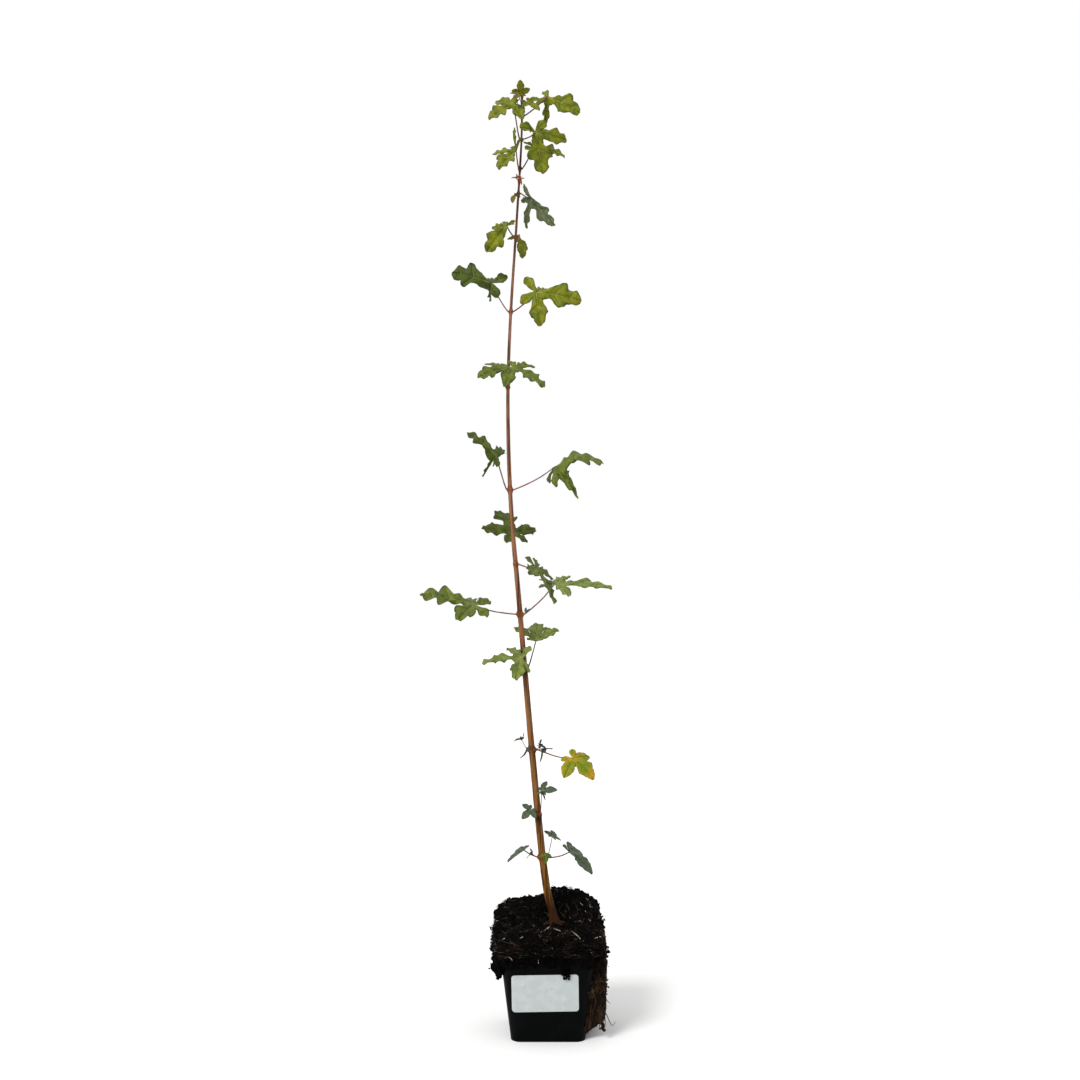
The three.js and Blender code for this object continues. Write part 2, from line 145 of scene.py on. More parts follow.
floor_material, floor_tree, floor_shader = new_material("white_studio_floor", 0.9, 0.1)
finish(floor_tree, floor_shader, mixed(floor_tree, pattern(floor_tree, 2.0), "#e3e3e3", "#e6e6e5"))
floor_mesh = bpy.data.meshes.new("floor")
corners = [(-FLOOR_HALF, -FLOOR_HALF, 0), (FLOOR_HALF, -FLOOR_HALF, 0)]
corners += [(FLOOR_HALF, FLOOR_HALF, 0), (-FLOOR_HALF, FLOOR_HALF, 0)]
floor_mesh.from_pydata(corners, [], [(0, 1, 2, 3)])
floor_mesh.materials.append(floor_material)
floor = bpy.data.objects.new("floor", floor_mesh)
bpy.context.scene.collection.objects.link(floor)

# %% The light
SKY_LIGHT = 1.0
KEY_LIGHT, KEY_SPREAD = 2.4, 22
KEY_TURN = (48, 0, -38)

world = bpy.data.worlds.new("studio")
world.use_nodes = True
world.node_tree.nodes["Background"].inputs["Color"].default_value = linear("#ffffff")
world.node_tree.nodes["Background"].inputs["Strength"].default_value = SKY_LIGHT
bpy.context.scene.world = world

key_data = bpy.data.lights.new("key_light", "SUN")
key_data.energy = KEY_LIGHT
key_data.angle = math.radians(KEY_SPREAD)
key = bpy.data.objects.new("key_light", key_data)
key.rotation_euler = [math.radians(turn) for turn in KEY_TURN]
bpy.context.scene.collection.objects.link(key)
print("sky", SKY_LIGHT, "and key", KEY_LIGHT)

# %% [markdown]
# ## Surfaces from arrays
# A surface is a grid of points, worked out as one array, and its faces join each point to the next in the row
# and in the next row. Where grids share an edge, points at one place are merged. All sizes below are in
# millimetres, as on a drawing, and become metres when the mesh is made.

# %% Grids and meshes
MM = 0.001
# Points that agree to so many decimals of a millimetre are one, and no vector counts as shorter than this
MERGE_DIGITS, SHORTEST = 4, 1e-9


def grid_faces(rows, columns, ring=False):
    """The quads of a grid of points stored row by row. A ring also joins the last column to the first."""
    across = columns if ring else columns - 1
    row, column = np.meshgrid(np.arange(rows - 1), np.arange(across), indexing="ij")
    beside = (column + 1) % columns
    quads = [row * columns + column, row * columns + beside]
    quads += [(row + 1) * columns + beside, (row + 1) * columns + column]
    return np.stack(quads, -1).reshape(-1, 4)


def unit(vectors):
    """Vectors divided by their lengths."""
    return vectors / np.maximum(np.linalg.norm(vectors, axis=-1, keepdims=True), SHORTEST)


def merged(points, faces):
    """Makes points at one place one point. Gives the points, the faces, and each kept point's old number."""
    places = np.round(points, MERGE_DIGITS)
    _, kept, number = np.unique(places, axis=0, return_index=True, return_inverse=True)
    return points[kept], number.reshape(-1)[faces], kept


def make_piece(name, points, faces, material, replaced=(), marks=None, smooth=True):
    """Puts points, in millimetres, and faces into a mesh that rides on the plant, and gives it its finish. A
    quad that has lost a corner in merging becomes a triangle, and one that has lost two is left out."""
    same = faces == np.roll(faces, -1, 1)
    whole, worn = same.sum(1) == 0, same.sum(1) == 1
    corners = faces[worn][~same[worn]].reshape(-1, faces.shape[1] - 1)
    shapes = faces[whole].tolist() + (corners.tolist() if faces.shape[1] == 4 else [])
    mesh = bpy.data.meshes.new(name)
    mesh.from_pydata((points * MM).tolist(), [], shapes)
    mesh.polygons.foreach_set("use_smooth", np.full(len(mesh.polygons), smooth))
    mesh.materials.append(material)
    for label, values in (marks or {}).items():
        layer = mesh.attributes.new(label, "FLOAT", "POINT")
        layer.data.foreach_set("value", np.asarray(values, np.float32))
    mesh.update()
    piece = bpy.data.objects.new(name, mesh)
    bpy.context.scene.collection.objects.link(piece)
    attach(piece, "root")
    if replaced:
        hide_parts(*replaced)
    return piece


# %% Curves, tubes and noise
def through(places, shares):
    """A smooth curve through a row of places. Each span is a cubic whose slopes at its ends are weighed by
    the square roots of the distances to the places beside it. Shares run from 0 to 1, evenly over the
    spans."""
    places = np.asarray(places, float)
    ends = np.vstack([2 * places[0] - places[1], places, 2 * places[-1] - places[-2]])
    at = np.clip(np.asarray(shares, float), 0, 1) * (len(places) - 1)
    span = np.minimum(at.astype(int), len(places) - 2)
    t = (at - span)[:, None]
    a, b, c, d = (ends[span + k] for k in range(4))
    ab, bc, cd = (np.sqrt(np.linalg.norm(q - p, axis=1, keepdims=True)) for p, q in ((a, b), (b, c), (c, d)))
    slope_b = ((b - a) / ab - (c - a) / (ab + bc) + (c - b) / bc) * bc
    slope_c = ((c - b) / bc - (d - b) / (bc + cd) + (d - c) / cd) * bc
    cubic = (2 * b - 2 * c + slope_b + slope_c) * t**3 + (3 * c - 3 * b - 2 * slope_b - slope_c) * t**2
    return cubic + slope_b * t + b


def tubes(lines, radii, sides, up):
    """Round rods along lines: lines is (rods, places, 3), and radii fits it. Each ring stands across its
    line, turned by the way up. The ends are closed by rings of no size, at the end places."""
    lines = np.concatenate([lines[:, :1], lines, lines[:, -1:]], 1)
    radii = np.concatenate([0 * radii[:, :1], radii, 0 * radii[:, -1:]], 1)
    along = unit(np.gradient(lines, axis=1))
    side = unit(np.cross(up[:, None, :], along))
    over = np.cross(along, side)
    angle = np.arange(sides) * 2 * np.pi / sides
    ring = side[:, :, None] * np.cos(angle)[:, None] + over[:, :, None] * np.sin(angle)[:, None]
    points = lines[:, :, None] + ring * radii[:, :, None, None]
    rods, places = lines.shape[:2]
    faces = grid_faces(places, sides, ring=True)
    faces = faces[None] + (np.arange(rods) * places * sides)[:, None, None]
    points, faces, _ = merged(points.reshape(-1, 3), faces.reshape(-1, 4))
    return points, faces


# How many random numbers grain draws, and three large odd numbers that scatter its lattice over them
TABLE_SIZE = 4096
SCATTER_X, SCATTER_Y, SCATTER_Z = 73856093, 19349663, 83492791


def grain(points, size, seed):
    """Lumpy noise from -1 to 1: random numbers on a lattice of so many millimetres, blended smoothly
    between. With t the place in a cell, from 0 to 1, the blend is t * t * (3 - 2 t)."""
    table = np.random.default_rng(seed).uniform(-1, 1, TABLE_SIZE)
    scaled = np.asarray(points) / size
    cell = np.floor(scaled).astype(np.int64)
    part = scaled - cell
    part = part * part * (3 - 2 * part)
    total = np.zeros(scaled.shape[:-1])
    for corner in np.ndindex(2, 2, 2):
        x, y, z = np.moveaxis(cell + corner, -1, 0)
        spot = (x * SCATTER_X ^ y * SCATTER_Y ^ z * SCATTER_Z) & (TABLE_SIZE - 1)
        total += np.where(corner, part, 1 - part).prod(-1) * table[spot]
    return total


# %% [markdown]
# ## The stem
# A young stem is smooth, faintly ridged bark, orange-brown below and dark red-brown towards the tip. A leaf
# pair leaves a raised ring on it at every joint, and its foot flares where the roots begin. The stem follows
# the same bends as its solid. Its radius is a function of height and angle: a taper, a collar, joint rings,
# and ridges.

# %% The stem's line and thickness
STEM_FOOT, STEM_TIP = 103, 936
STEM_THIN, STEM_THICK, STEM_TAPER = 1, 3, 1.4
FLARE, FLARE_HEIGHT = 3.6, 5.5
NODE_SWELL, NODE_REACH = 0.2, 4
STEM_LINE = [
    (7.5, 0, 102), (6.5, 0, 109), (0, 0, 134), (-5.5, -1, 172), (-17, -3, 290), (-29, -5, 429),
    (-37, -6, 524), (-40, -5, 629), (-37.5, -2, 709), (-31, 2, 814), (-26.5, 3, 892), (-26, 3, 937),
]  # fmt: skip
JOINTS = [172, 215, 280, 361, 415, 465, 539, 641, 717, 792, 836, 848, 861, 890, 914, 926, 934]

STEM_PLACES = 4000

stem_places = through(STEM_LINE, np.linspace(0, 1, STEM_PLACES))


def stem_middle(z):
    """The middle of the stem at heights, read off its line."""
    return np.stack([np.interp(z, stem_places[:, 2], stem_places[:, k]) for k in (0, 1)] + [z], -1)


def stem_radius(z):
    """Half the stem's thickness at heights: a taper, the root collar, and a swelling at each joint."""
    share = np.clip(1 - (z - STEM_FOOT) / (STEM_TIP - STEM_FOOT), 0, 1)
    near = np.exp(-(((z[..., None] - JOINTS) / (NODE_REACH / 2)) ** 2)).max(-1)
    collar = FLARE * np.exp((STEM_FOOT - z) / FLARE_HEIGHT)
    return (STEM_THIN + STEM_THICK * share**STEM_TAPER) * (1 + NODE_SWELL * near) + collar


# %% Bark
# Young bark is a waxy brown skin with fine lengthwise cracks, so it has long streaks and only a faint gloss
bark, tree, shader = new_material("young_bark", 0.5, 0.08)
height = mark(tree, "height")
streaks = pattern(tree, 420, 4, (1, 1, 0.05))
blotches = pattern(tree, 60, 3, (1, 1, 0.4))
lower = mixed(tree, ranged(tree, streaks, 0.4, 0.6), "#382008", "#724a14")
upper = mixed(tree, ranged(tree, streaks, 0.4, 0.6), "#42261a", "#865c46")
colour = mixed(tree, ranged(tree, height, 0.05, 0.6), lower, upper)
colour = mixed(tree, ranged(tree, height, 0.74, 0.94, 0, 0.65), colour, "#34180f")
colour = mixed(tree, ranged(tree, blotches, 0.6, 0.72, 0, 0.3), colour, "#7d6238")
colour = mixed(tree, ranged(tree, mark(tree, "joint"), 0.1, 1.0, 0, 0.7), colour, "#74380f")
colour = mixed(tree, ranged(tree, mark(tree, "scar"), 0.0, 1.0, 0, 0.55), colour, "#1a0e08")
# The bark is darkened in a band a little below two of the joints
colour = mixed(tree, ranged(tree, mark(tree, "dark_band"), 0.0, 1.0, 0, 0.8), colour, "#160a05")
colour = mixed(tree, mark(tree, "foot"), colour, "#200903")
finish(tree, shader, colour, streaks, 0.0003)

# %% The stem's surface
STEM_COLUMNS = 32
STEM_STEP = 1.0
# The lengthwise ridges, and the noise that makes them wander
RIDGES, RIDGE_DEEP, RIDGE_SEED = 7, 0.09, 3
RIDGE_SWAY, SWAY_SIZE, SWAY_STRETCH = 2.5, 6, (1, 1, 0.1)
COLLAR_WIDE, COLLAR_SHARE = 2.6, 0.42
SCAR_ABOVE, SCAR_WIDE, SCAR_DEEP = 3.2, 0.8, 0.12
# Two joints have a dark band below them: which, how far below, and how wide
DARK_BANDS, DARK_BAND_BELOW, DARK_BAND_WIDE = [215, 361], 3.5, 4.5
KNOB_SIZE, KNOB_HIGH, KNOB_SEED = 2.2, 0.14, 5
# Noise is read on a rod of this radius. Its relief grows with the stem's own, up to full, from a least share.
SKIN_RADIUS, RELIEF_FULL, RELIEF_LEAST = 3, 4, 0.35
# The foot's toes: how many, how far they stand out, how high they reach, and how they are turned
TOES, TOE_WIDE, TOE_HIGH, TOE_TURN = 5, 1.6, 3.5, 1
# How far the foot is sunk in, how high its dark part reaches, how it fades, and its greatest share
FOOT_SUNK, FOOT_HIGH, FOOT_FADE, FOOT_SHARE = 1.5, 32, 16, 0.85

z = np.linspace(STEM_FOOT - FOOT_SUNK, STEM_TIP, int((STEM_TIP - STEM_FOOT) / STEM_STEP))
angle = np.arange(STEM_COLUMNS) * 2 * np.pi / STEM_COLUMNS
nearest = np.abs(z[:, None] - JOINTS).argmin(1)
from_joint = z - np.take(JOINTS, nearest)
collar_ring = np.exp(-((from_joint / COLLAR_WIDE) ** 2))[:, None]
scar_ring = np.exp(-(((from_joint - SCAR_ABOVE) / SCAR_WIDE) ** 2))[:, None]
dark_band = np.exp(-(((z[:, None] - DARK_BANDS + DARK_BAND_BELOW) / DARK_BAND_WIDE) ** 2)).max(1)
shoulder = np.cos(angle - np.where(nearest % 2 == 0, 0.0, np.pi / 2)[:, None]) ** 2
around = np.stack([np.cos(angle), np.sin(angle), 0 * angle], -1)
skin = stem_middle(z)[:, None] + around * SKIN_RADIUS
sway = RIDGE_SWAY * grain(skin * SWAY_STRETCH, SWAY_SIZE, RIDGE_SEED)
ridge = RIDGE_DEEP * np.sin(RIDGES * angle + sway)
knobs = KNOB_HIGH * grain(skin, KNOB_SIZE, KNOB_SEED)
plain = stem_radius(z)[:, None]
toes = TOE_WIDE * np.exp((STEM_FOOT - z) / TOE_HIGH)[:, None] * np.cos(TOES * angle + TOE_TURN)
thickness = plain * (1 + COLLAR_SHARE * collar_ring * shoulder) - SCAR_DEEP * scar_ring
thickness = thickness + (ridge + knobs) * np.clip(plain / RELIEF_FULL, RELIEF_LEAST, 1) + toes
surface = stem_middle(z)[:, None] + around * thickness[..., None]
ends = [np.repeat(surface[k].mean(0, keepdims=True), STEM_COLUMNS, 0)[None] for k in (0, -1)]
surface = np.concatenate([ends[0], surface, ends[1]])
row = np.concatenate([[0], np.arange(len(z)), [len(z) - 1]])
spread = np.ones(STEM_COLUMNS)
points, faces, kept = merged(surface.reshape(-1, 3), grid_faces(len(row), STEM_COLUMNS, ring=True))
rows_marked = {
    "height": (z - STEM_FOOT) / (STEM_TIP - STEM_FOOT),
    "joint": collar_ring[:, 0],
    "scar": scar_ring[:, 0],
    "dark_band": dark_band,
    "foot": np.clip((STEM_FOOT + FOOT_HIGH - z) / FOOT_FADE, 0, FOOT_SHARE),
}
marks = {label: np.outer(values[row], spread).ravel()[kept] for label, values in rows_marked.items()}
stem = make_piece("maple_stem", points, faces, bark, ["stem"], marks)
print("stem:", len(stem.data.polygons), "faces")

# %% [markdown]
# ## The leaves
# A field maple's leaf has five blunt lobes with a few rounded teeth, a firm thin blade, and veins sunk in its
# upper side. Each leaf here stands, curls and lifts its lobes as its solid does, and has finer margins. For
# each half of a lobe, one edge of a grid is the vein and the other is the margin, a smooth curve through its
# teeth. The flat blade is then curled down along an arc, its halves raised from the vein, and each lobe
# turned up by its own lift. The underside is the same sheet moved along its normals, so that the blade is
# closed and thins out to its margin.

# %% The leaves' places and margins
# How far the stalk runs straight out, and how much of its length it sags
STALK_SHOULDER, STALK_SAG = 1.2, 0.06
# How many degrees a lobe's halves are raised, how unevenly a leaf curls, how far behind its middle the heel
# is, and where the first side vein starts
CUP, UNEVEN, HEEL, FIRST_FOOT = 12, 0.3, 0.04, 0.1
# Each margin's points: how far out, how far from the vein, and where its side vein starts. The solids have
# fewer points and deeper notches. Here the points make blunt lobules.
MIDDLE = [
    (0.29, 0.15, 0.18), (0.38, 0.17, 0.25), (0.45, 0.24, 0.29), (0.53, 0.31, 0.34), (0.61, 0.31, 0.42),
    (0.66, 0.25, 0.5), (0.69, 0.18, 0.58), (0.77, 0.18, 0.66), (0.86, 0.18, 0.74), (0.93, 0.13, 0.83),
    (0.98, 0.06, 0.92),
]  # fmt: skip
SIDE = [
    (0.3, 0.16, 0.2), (0.42, 0.18, 0.28), (0.52, 0.23, 0.34), (0.62, 0.26, 0.42), (0.7, 0.23, 0.52),
    (0.76, 0.17, 0.62), (0.84, 0.16, 0.72), (0.92, 0.12, 0.82), (0.98, 0.06, 0.91),
]  # fmt: skip
BASAL = [(0.5, 0.24, 0.3), (0.65, 0.28, 0.42), (0.78, 0.25, 0.56), (0.88, 0.17, 0.7), (0.96, 0.09, 0.84)]
# Each lobe's turn in degrees from the middle one, its reach and its margin
LOBES = [(-133, 0.42, BASAL), (-73, 0.78, SIDE), (0, 1, MIDDLE), (73, 0.78, SIDE), (133, 0.42, BASAL)]
# Each notch's turn from the middle lobe, and how far it is from the blade's middle
NOTCHES = [(-166, 0.12), (-103, 0.18), (-37, 0.25), (37, 0.25), (103, 0.18), (166, 0.12)]

# Each leaf: its joint, its stalk, the way to its tip, the way its upper side looks, the lifts of its other
# four lobes, how far it curls, and its tint
LEAVES = {
    "leaf_1_left": (1, (-19, 3, 7), (-17, -6, -10), (0, 0.2, 1), (10, 10, 10, 10), 10, "shade"),
    "leaf_1_front": (1, (3, -10, 5), (0, -4, -8), (0, -1, 0), (-30, -20, -20, -30), 10, "dull"),
    "leaf_1_right": (1, (10, 4, 20), (2, 13, 3), (0.45, -0.25, 0.85), (0, 0, 0, 0), 10, "shade"),
    "leaf_1_far_right": (1, (27, -16, 9), (24, -8, -18), (0.5, -0.2, 0.8), (20, 30, 0, 20), 15, "shade"),
    "leaf_2_left": (2, (-7, -6, 6), (-9, -5, -8), (0, -0.8, 0.5), (0, 20, 0, 0), 20, "shade"),
    "leaf_2_right": (2, (4, -8, 25), (15, -4, 2), (0, -0.6, 0.8), (0, -80, 10, 0), 10, "shade"),
    "leaf_3_right": (3, (41, -5, -8), (23, -14, -14), (0.1, -0.75, 0.65), (0, 0, -20, 0), 35, "yellow"),
    "leaf_4_left": (4, (-3, -21, 12), (-39, -6, 1), (0, -0.4, 0.9), (30, 0, -10, -40), 20, "pale"),
    "leaf_4_right": (4, (11, 10, 27), (2, 26, 20), (0, -0.5, 0.85), (40, 30, 30, 40), 20, "pale"),
    "leaf_5_left": (5, (-46, 0, 10), (-53, -4, 14), (0, -0.45, 0.9), (0, -20, 10, 0), 15, "dull"),
    "leaf_5_right": (5, (35, -5, 31), (57, 0, -2), (0, -0.2, 1), (0, 0, 0, 0), 8, "pale"),
    "leaf_6_back": (6, (-3, 22, 31), (-14, 26, 30), (0.35, -0.6, 0.65), (0, 0, 0, 0), 20, "deep"),
    "leaf_6_right": (6, (21, -22, -3), (21, -12, -33), (0.85, -0.3, 0.45), (0, 0, 0, 0), 10, "dull"),
    "leaf_7_left": (7, (-14, 4, 35), (-29, 10, 26), (0.2, -0.5, 0.6), (-80, -20, -80, 0), 10, "deep"),
    "leaf_7_right": (7, (44, -6, 23), (45, 6, 28), (0, -0.2, 1), (-40, -50, -30, -30), 55, "dull"),
    "leaf_8_left": (8, (-5, -10, 18), (-24, -16, -7), (-0.1, -0.7, 0.7), (0, 0, 0, 0), 30, "dull"),
    "leaf_8_right": (8, (6, -24, 17), (32, -14, -15), (0.2, -0.6, 0.75), (0, 0, 0, 0), 30, "dull"),
    "leaf_9_left": (9, (-20, 5, 30), (-41, 6, 15), (0, -0.85, 0.3), (0, -50, -80, 0), 15, "deep"),
    "leaf_9_right": (9, (25, -6, 19), (46, -4, -7), (0, -1, 0.25), (0, 0, -55, 0), 15, "fresh"),
    "leaf_10_left": (10, (-9, -8, 10), (-20, -6, -26), (0, -1, 0), (-50, -50, 75, 60), 20, "fresh"),
    "leaf_10_right": (10, (4, 8, 4), (4, 3, -23), (0.5, -0.8, 0.3), (-80, -75, -75, -80), 10, "fresh"),
    "leaf_11_left": (11, (-4, -5, -1), (-2, -2, -10), (-0.5, -0.8, 0), (-60, -60, -60, -60), 10, "bronze"),
    "leaf_11_right": (11, (13, -8, -7), (20, -18, -31), (-0.76, -0.65, -0.08), (0, 0, 60, 40), 20, "grey"),
    "leaf_13_left": (13, (-4, -5, 17), (-18, -20, -20), (-0.3, -0.7, 0.6), (0, 0, 80, 60), 15, "fresh"),
    "leaf_13_right": (13, (14, 10, 25), (33, 6, -4), (0, -0.6, 0.8), (0, 0, 0, 0), 15, "fresh"),
    "leaf_14_left": (14, (-8, -6, 35), (-25, -10, -17), (-0.2, -0.7, 0.7), (0, 0, -10, -30), 15, "fresh"),
    "leaf_14_right": (14, (14, -18, 2), (8, -8, -41), (0.15, -0.95, 0.1), (0, 60, 0, 0), 20, "fresh"),
    "leaf_15_left": (15, (-5, 9, 17), (-11, 2, -5), (0, -0.3, 0.9), (20, 20, 20, 20), 10, "fresh"),
    "leaf_15_right": (15, (25, 0, 20), (33, -10, -17), (0.1, -0.95, 0.3), (-30, -60, -60, -30), 15, "fresh"),
    "leaf_16_left": (16, (-3, -10, 6), (-4, -9, -6), (0, -0.6, 0.6), (10, 10, 10, 10), 10, "bronze"),
    "leaf_16_right": (16, (6, -6, 0), (12, -6, -9), (0, -0.6, 0.6), (10, 10, 10, 10), 10, "fresh"),
    "leaf_17": (17, (-1, 2, 4), (-1, -6, 11), (0, -0.9, 0.4), (0, 0, 0, 0), 0, "fresh"),
}
# Dead and budding scraps that hang at the joints, too small to be solids
SCRAPS = {
    "scrap_3_left": (3, (-10, -3, 10), (-9, -1, 4), (0, -0.4, 0.9), (80, 80, 80, 80), 70, "withered"),
    "scrap_3_low": (3, (-5, -2, 2), (-2, -1, -13), (0.95, -0.3, 0), (85, 85, 85, 85), 40, "withered"),
    "scrap_3_right": (3, (8, -4, 4), (9, -3, 1), (0, -0.6, 0.8), (60, 40, 60, 70), 80, "withered"),
    "scrap_3_thread": (3, (10, -2, 1), (1, 0, -14), (0.97, -0.2, 0), (88, 88, 88, 88), 20, "withered"),
    "scrap_1_low": (1, (-10, 2, 3), (-8, 0, -2), (0, -0.2, 1), (80, 80, 80, 80), 60, "withered"),
    "bud_5_right": (5, (6, -3, 3), (5, -1, 3), (0, -0.5, 0.8), (30, 30, 30, 30), 20, "shade"),
    "bract_12_left": (12, (-2, -3, 3), (-6, -1, 1), (0, -0.8, 0.6), (40, 30, 30, 40), 30, "bud_scale"),
    "bract_12_right": (12, (1, -3, 2), (2, -1, -6), (0.2, -0.9, 0), (40, 40, 40, 40), 30, "bud_scale"),
    "bract_12_back": (12, (0, -3, 4), (1, -1, 4), (0.2, -0.9, 0), (40, 40, 40, 40), 30, "bud_scale"),
}
print(len(LEAVES), "leaves and", len(SCRAPS), "scraps")

# %% Leaf blades
# Each tint: the blade, its paler veins, its underside, and the patches that turn with age
TINTS = {
    "fresh": ("#424e00", "#9a9c40", "#6a7420", "#7c8000"),
    "dull": ("#38450a", "#8c9450", "#626e36", "#66731f"),
    "pale": ("#47561a", "#a0a86c", "#707c44", "#7c8a3c"),
    "deep": ("#283400", "#74803c", "#525e28", "#4d5a0e"),
    "grey": ("#485232", "#8f9672", "#637052", "#5a6440"),
    "shade": ("#3b4733", "#7f8a74", "#5b6751", "#4b5841"),
    "bronze": ("#525008", "#8a8440", "#6c6a30", "#6f5a18"),
    "yellow": ("#6e7c04", "#5c6c28", "#868c30", "#b08a06"),
    "withered": ("#33362a", "#4a4d3a", "#3c3f30", "#25271d"),
    "bud_scale": ("#c07650", "#d09878", "#b07858", "#9a5034"),
}
# Lumps to the metre: patches of about 8 mm on green leaves, of about 17 mm where a leaf turns yellow, and
# the blade's cells
PATCHES, WIDE_PATCHES, CELLS = 120, 60, 1100
PATCH_EDGES, TURNED_EDGES = (0.25, 0.7), (0.44, 0.7)


def leaf_material(tint):
    """A leaf's blade and stalk. A blade has a waxy skin with a soft broken gloss, and under it blotches some
    millimetres wide, fine cells, pale veins, a margin darkened as painted shade, and a paler underside. A
    yellowing leaf turns from its margin: there the margin takes its patch colour, with no painted shade."""
    blade, vein, under, patch = TINTS[tint]
    material, tree, shader = new_material(f"maple_leaf_{tint}", 0.5, 0.2)
    turning = tint == "yellow"
    patches = pattern(tree, WIDE_PATCHES if turning else PATCHES, 4)
    cells = pattern(tree, CELLS, 3)
    edges = TURNED_EDGES if turning else PATCH_EDGES
    # A yellowing leaf's margin turns to its patch colour; every other leaf's margin is darkened to its blade
    # colour as painted shade
    rim_turning_or_painted_shade = patch if turning else blade
    colour = mixed(tree, ranged(tree, patches, *edges), blade, patch)
    colour = mixed(tree, ranged(tree, cells, 0.35, 0.65, 0, 0.3), colour, "#1c2204")
    # Painted shade: the blade darkens towards its margin, except on a yellowing leaf, whose margin turns
    # yellow
    colour = mixed(tree, ranged(tree, mark(tree, "margin"), 0.7, 1.0, 0, 0.5), colour, rim_turning_or_painted_shade)
    colour = mixed(tree, ranged(tree, mark(tree, "vein"), 0.3, 0.9, 0, 0.65), colour, vein)
    colour = mixed(tree, ranged(tree, mark(tree, "under"), 0, 1, 0, 0.85), colour, under)
    stalk = mixed(tree, ranged(tree, patches, 0.4, 0.6), "#562c26", "#7c5048")
    colour = mixed(tree, mark(tree, "stalk"), colour, stalk)
    finish(tree, shader, colour, cells, 0.0005)
    return material


foliage = {tint: leaf_material(tint) for tint in TINTS}
print(len(foliage), "leaf finishes")

# %% One blade, flat
# Rows between two margin points, columns from vein to margin, and how much they crowd at the vein
SPAN_ROWS, LOBE_COLUMNS, VEIN_CROWD = 3, 10, 1.7
# The main vein: how deep, how wide, how much it thins towards the tip, and its width in the blade's middle
VEIN_SINK, VEIN_WIDE, VEIN_TAPER, HUB_WIDE = 0.016, 0.015, 0.5, 0.12
# The side veins: how deep, how wide, how they fade outwards, and how clearly they show
SIDE_VEIN_SINK, SIDE_VEIN_WIDE, SIDE_VEIN_FADE, SIDE_VEIN_SHOWN = 0.014, 0.3, 0.4, 0.8
# The blade puffs up between side veins, its margin ripples up and down, and fine teeth run along it
PUFF = 0.03
RIPPLE, RIPPLE_TURN = 0.045, 1.7
TOOTH, TOOTH_TURN = 0.007, 3.6
# Each wave starts somewhere in this range, and each lobe is twisted by up to so many degrees
PHASES, TWIST = 6, 10
# A leaf whose middle lobe is shorter than this is young: its lobes are plain lenses, its notches less deep
# and its margins calmer
YOUNG_BELOW, YOUNG_FADE = 36, 16
YOUNG_LENS, LENS_BLUNT, YOUNG_SHARE, YOUNG_WEB, YOUNG_CALM = 0.32, 0.7, 0.8, 0.6, 0.75
# A leaf that was stunted keeps at least this much of the young form when it is larger
STUNTED = {"shade": 1.0, "withered": 1.0, "bud_scale": 1.0, "yellow": 0.7}
across = np.linspace(0, 1, LOBE_COLUMNS) ** VEIN_CROWD


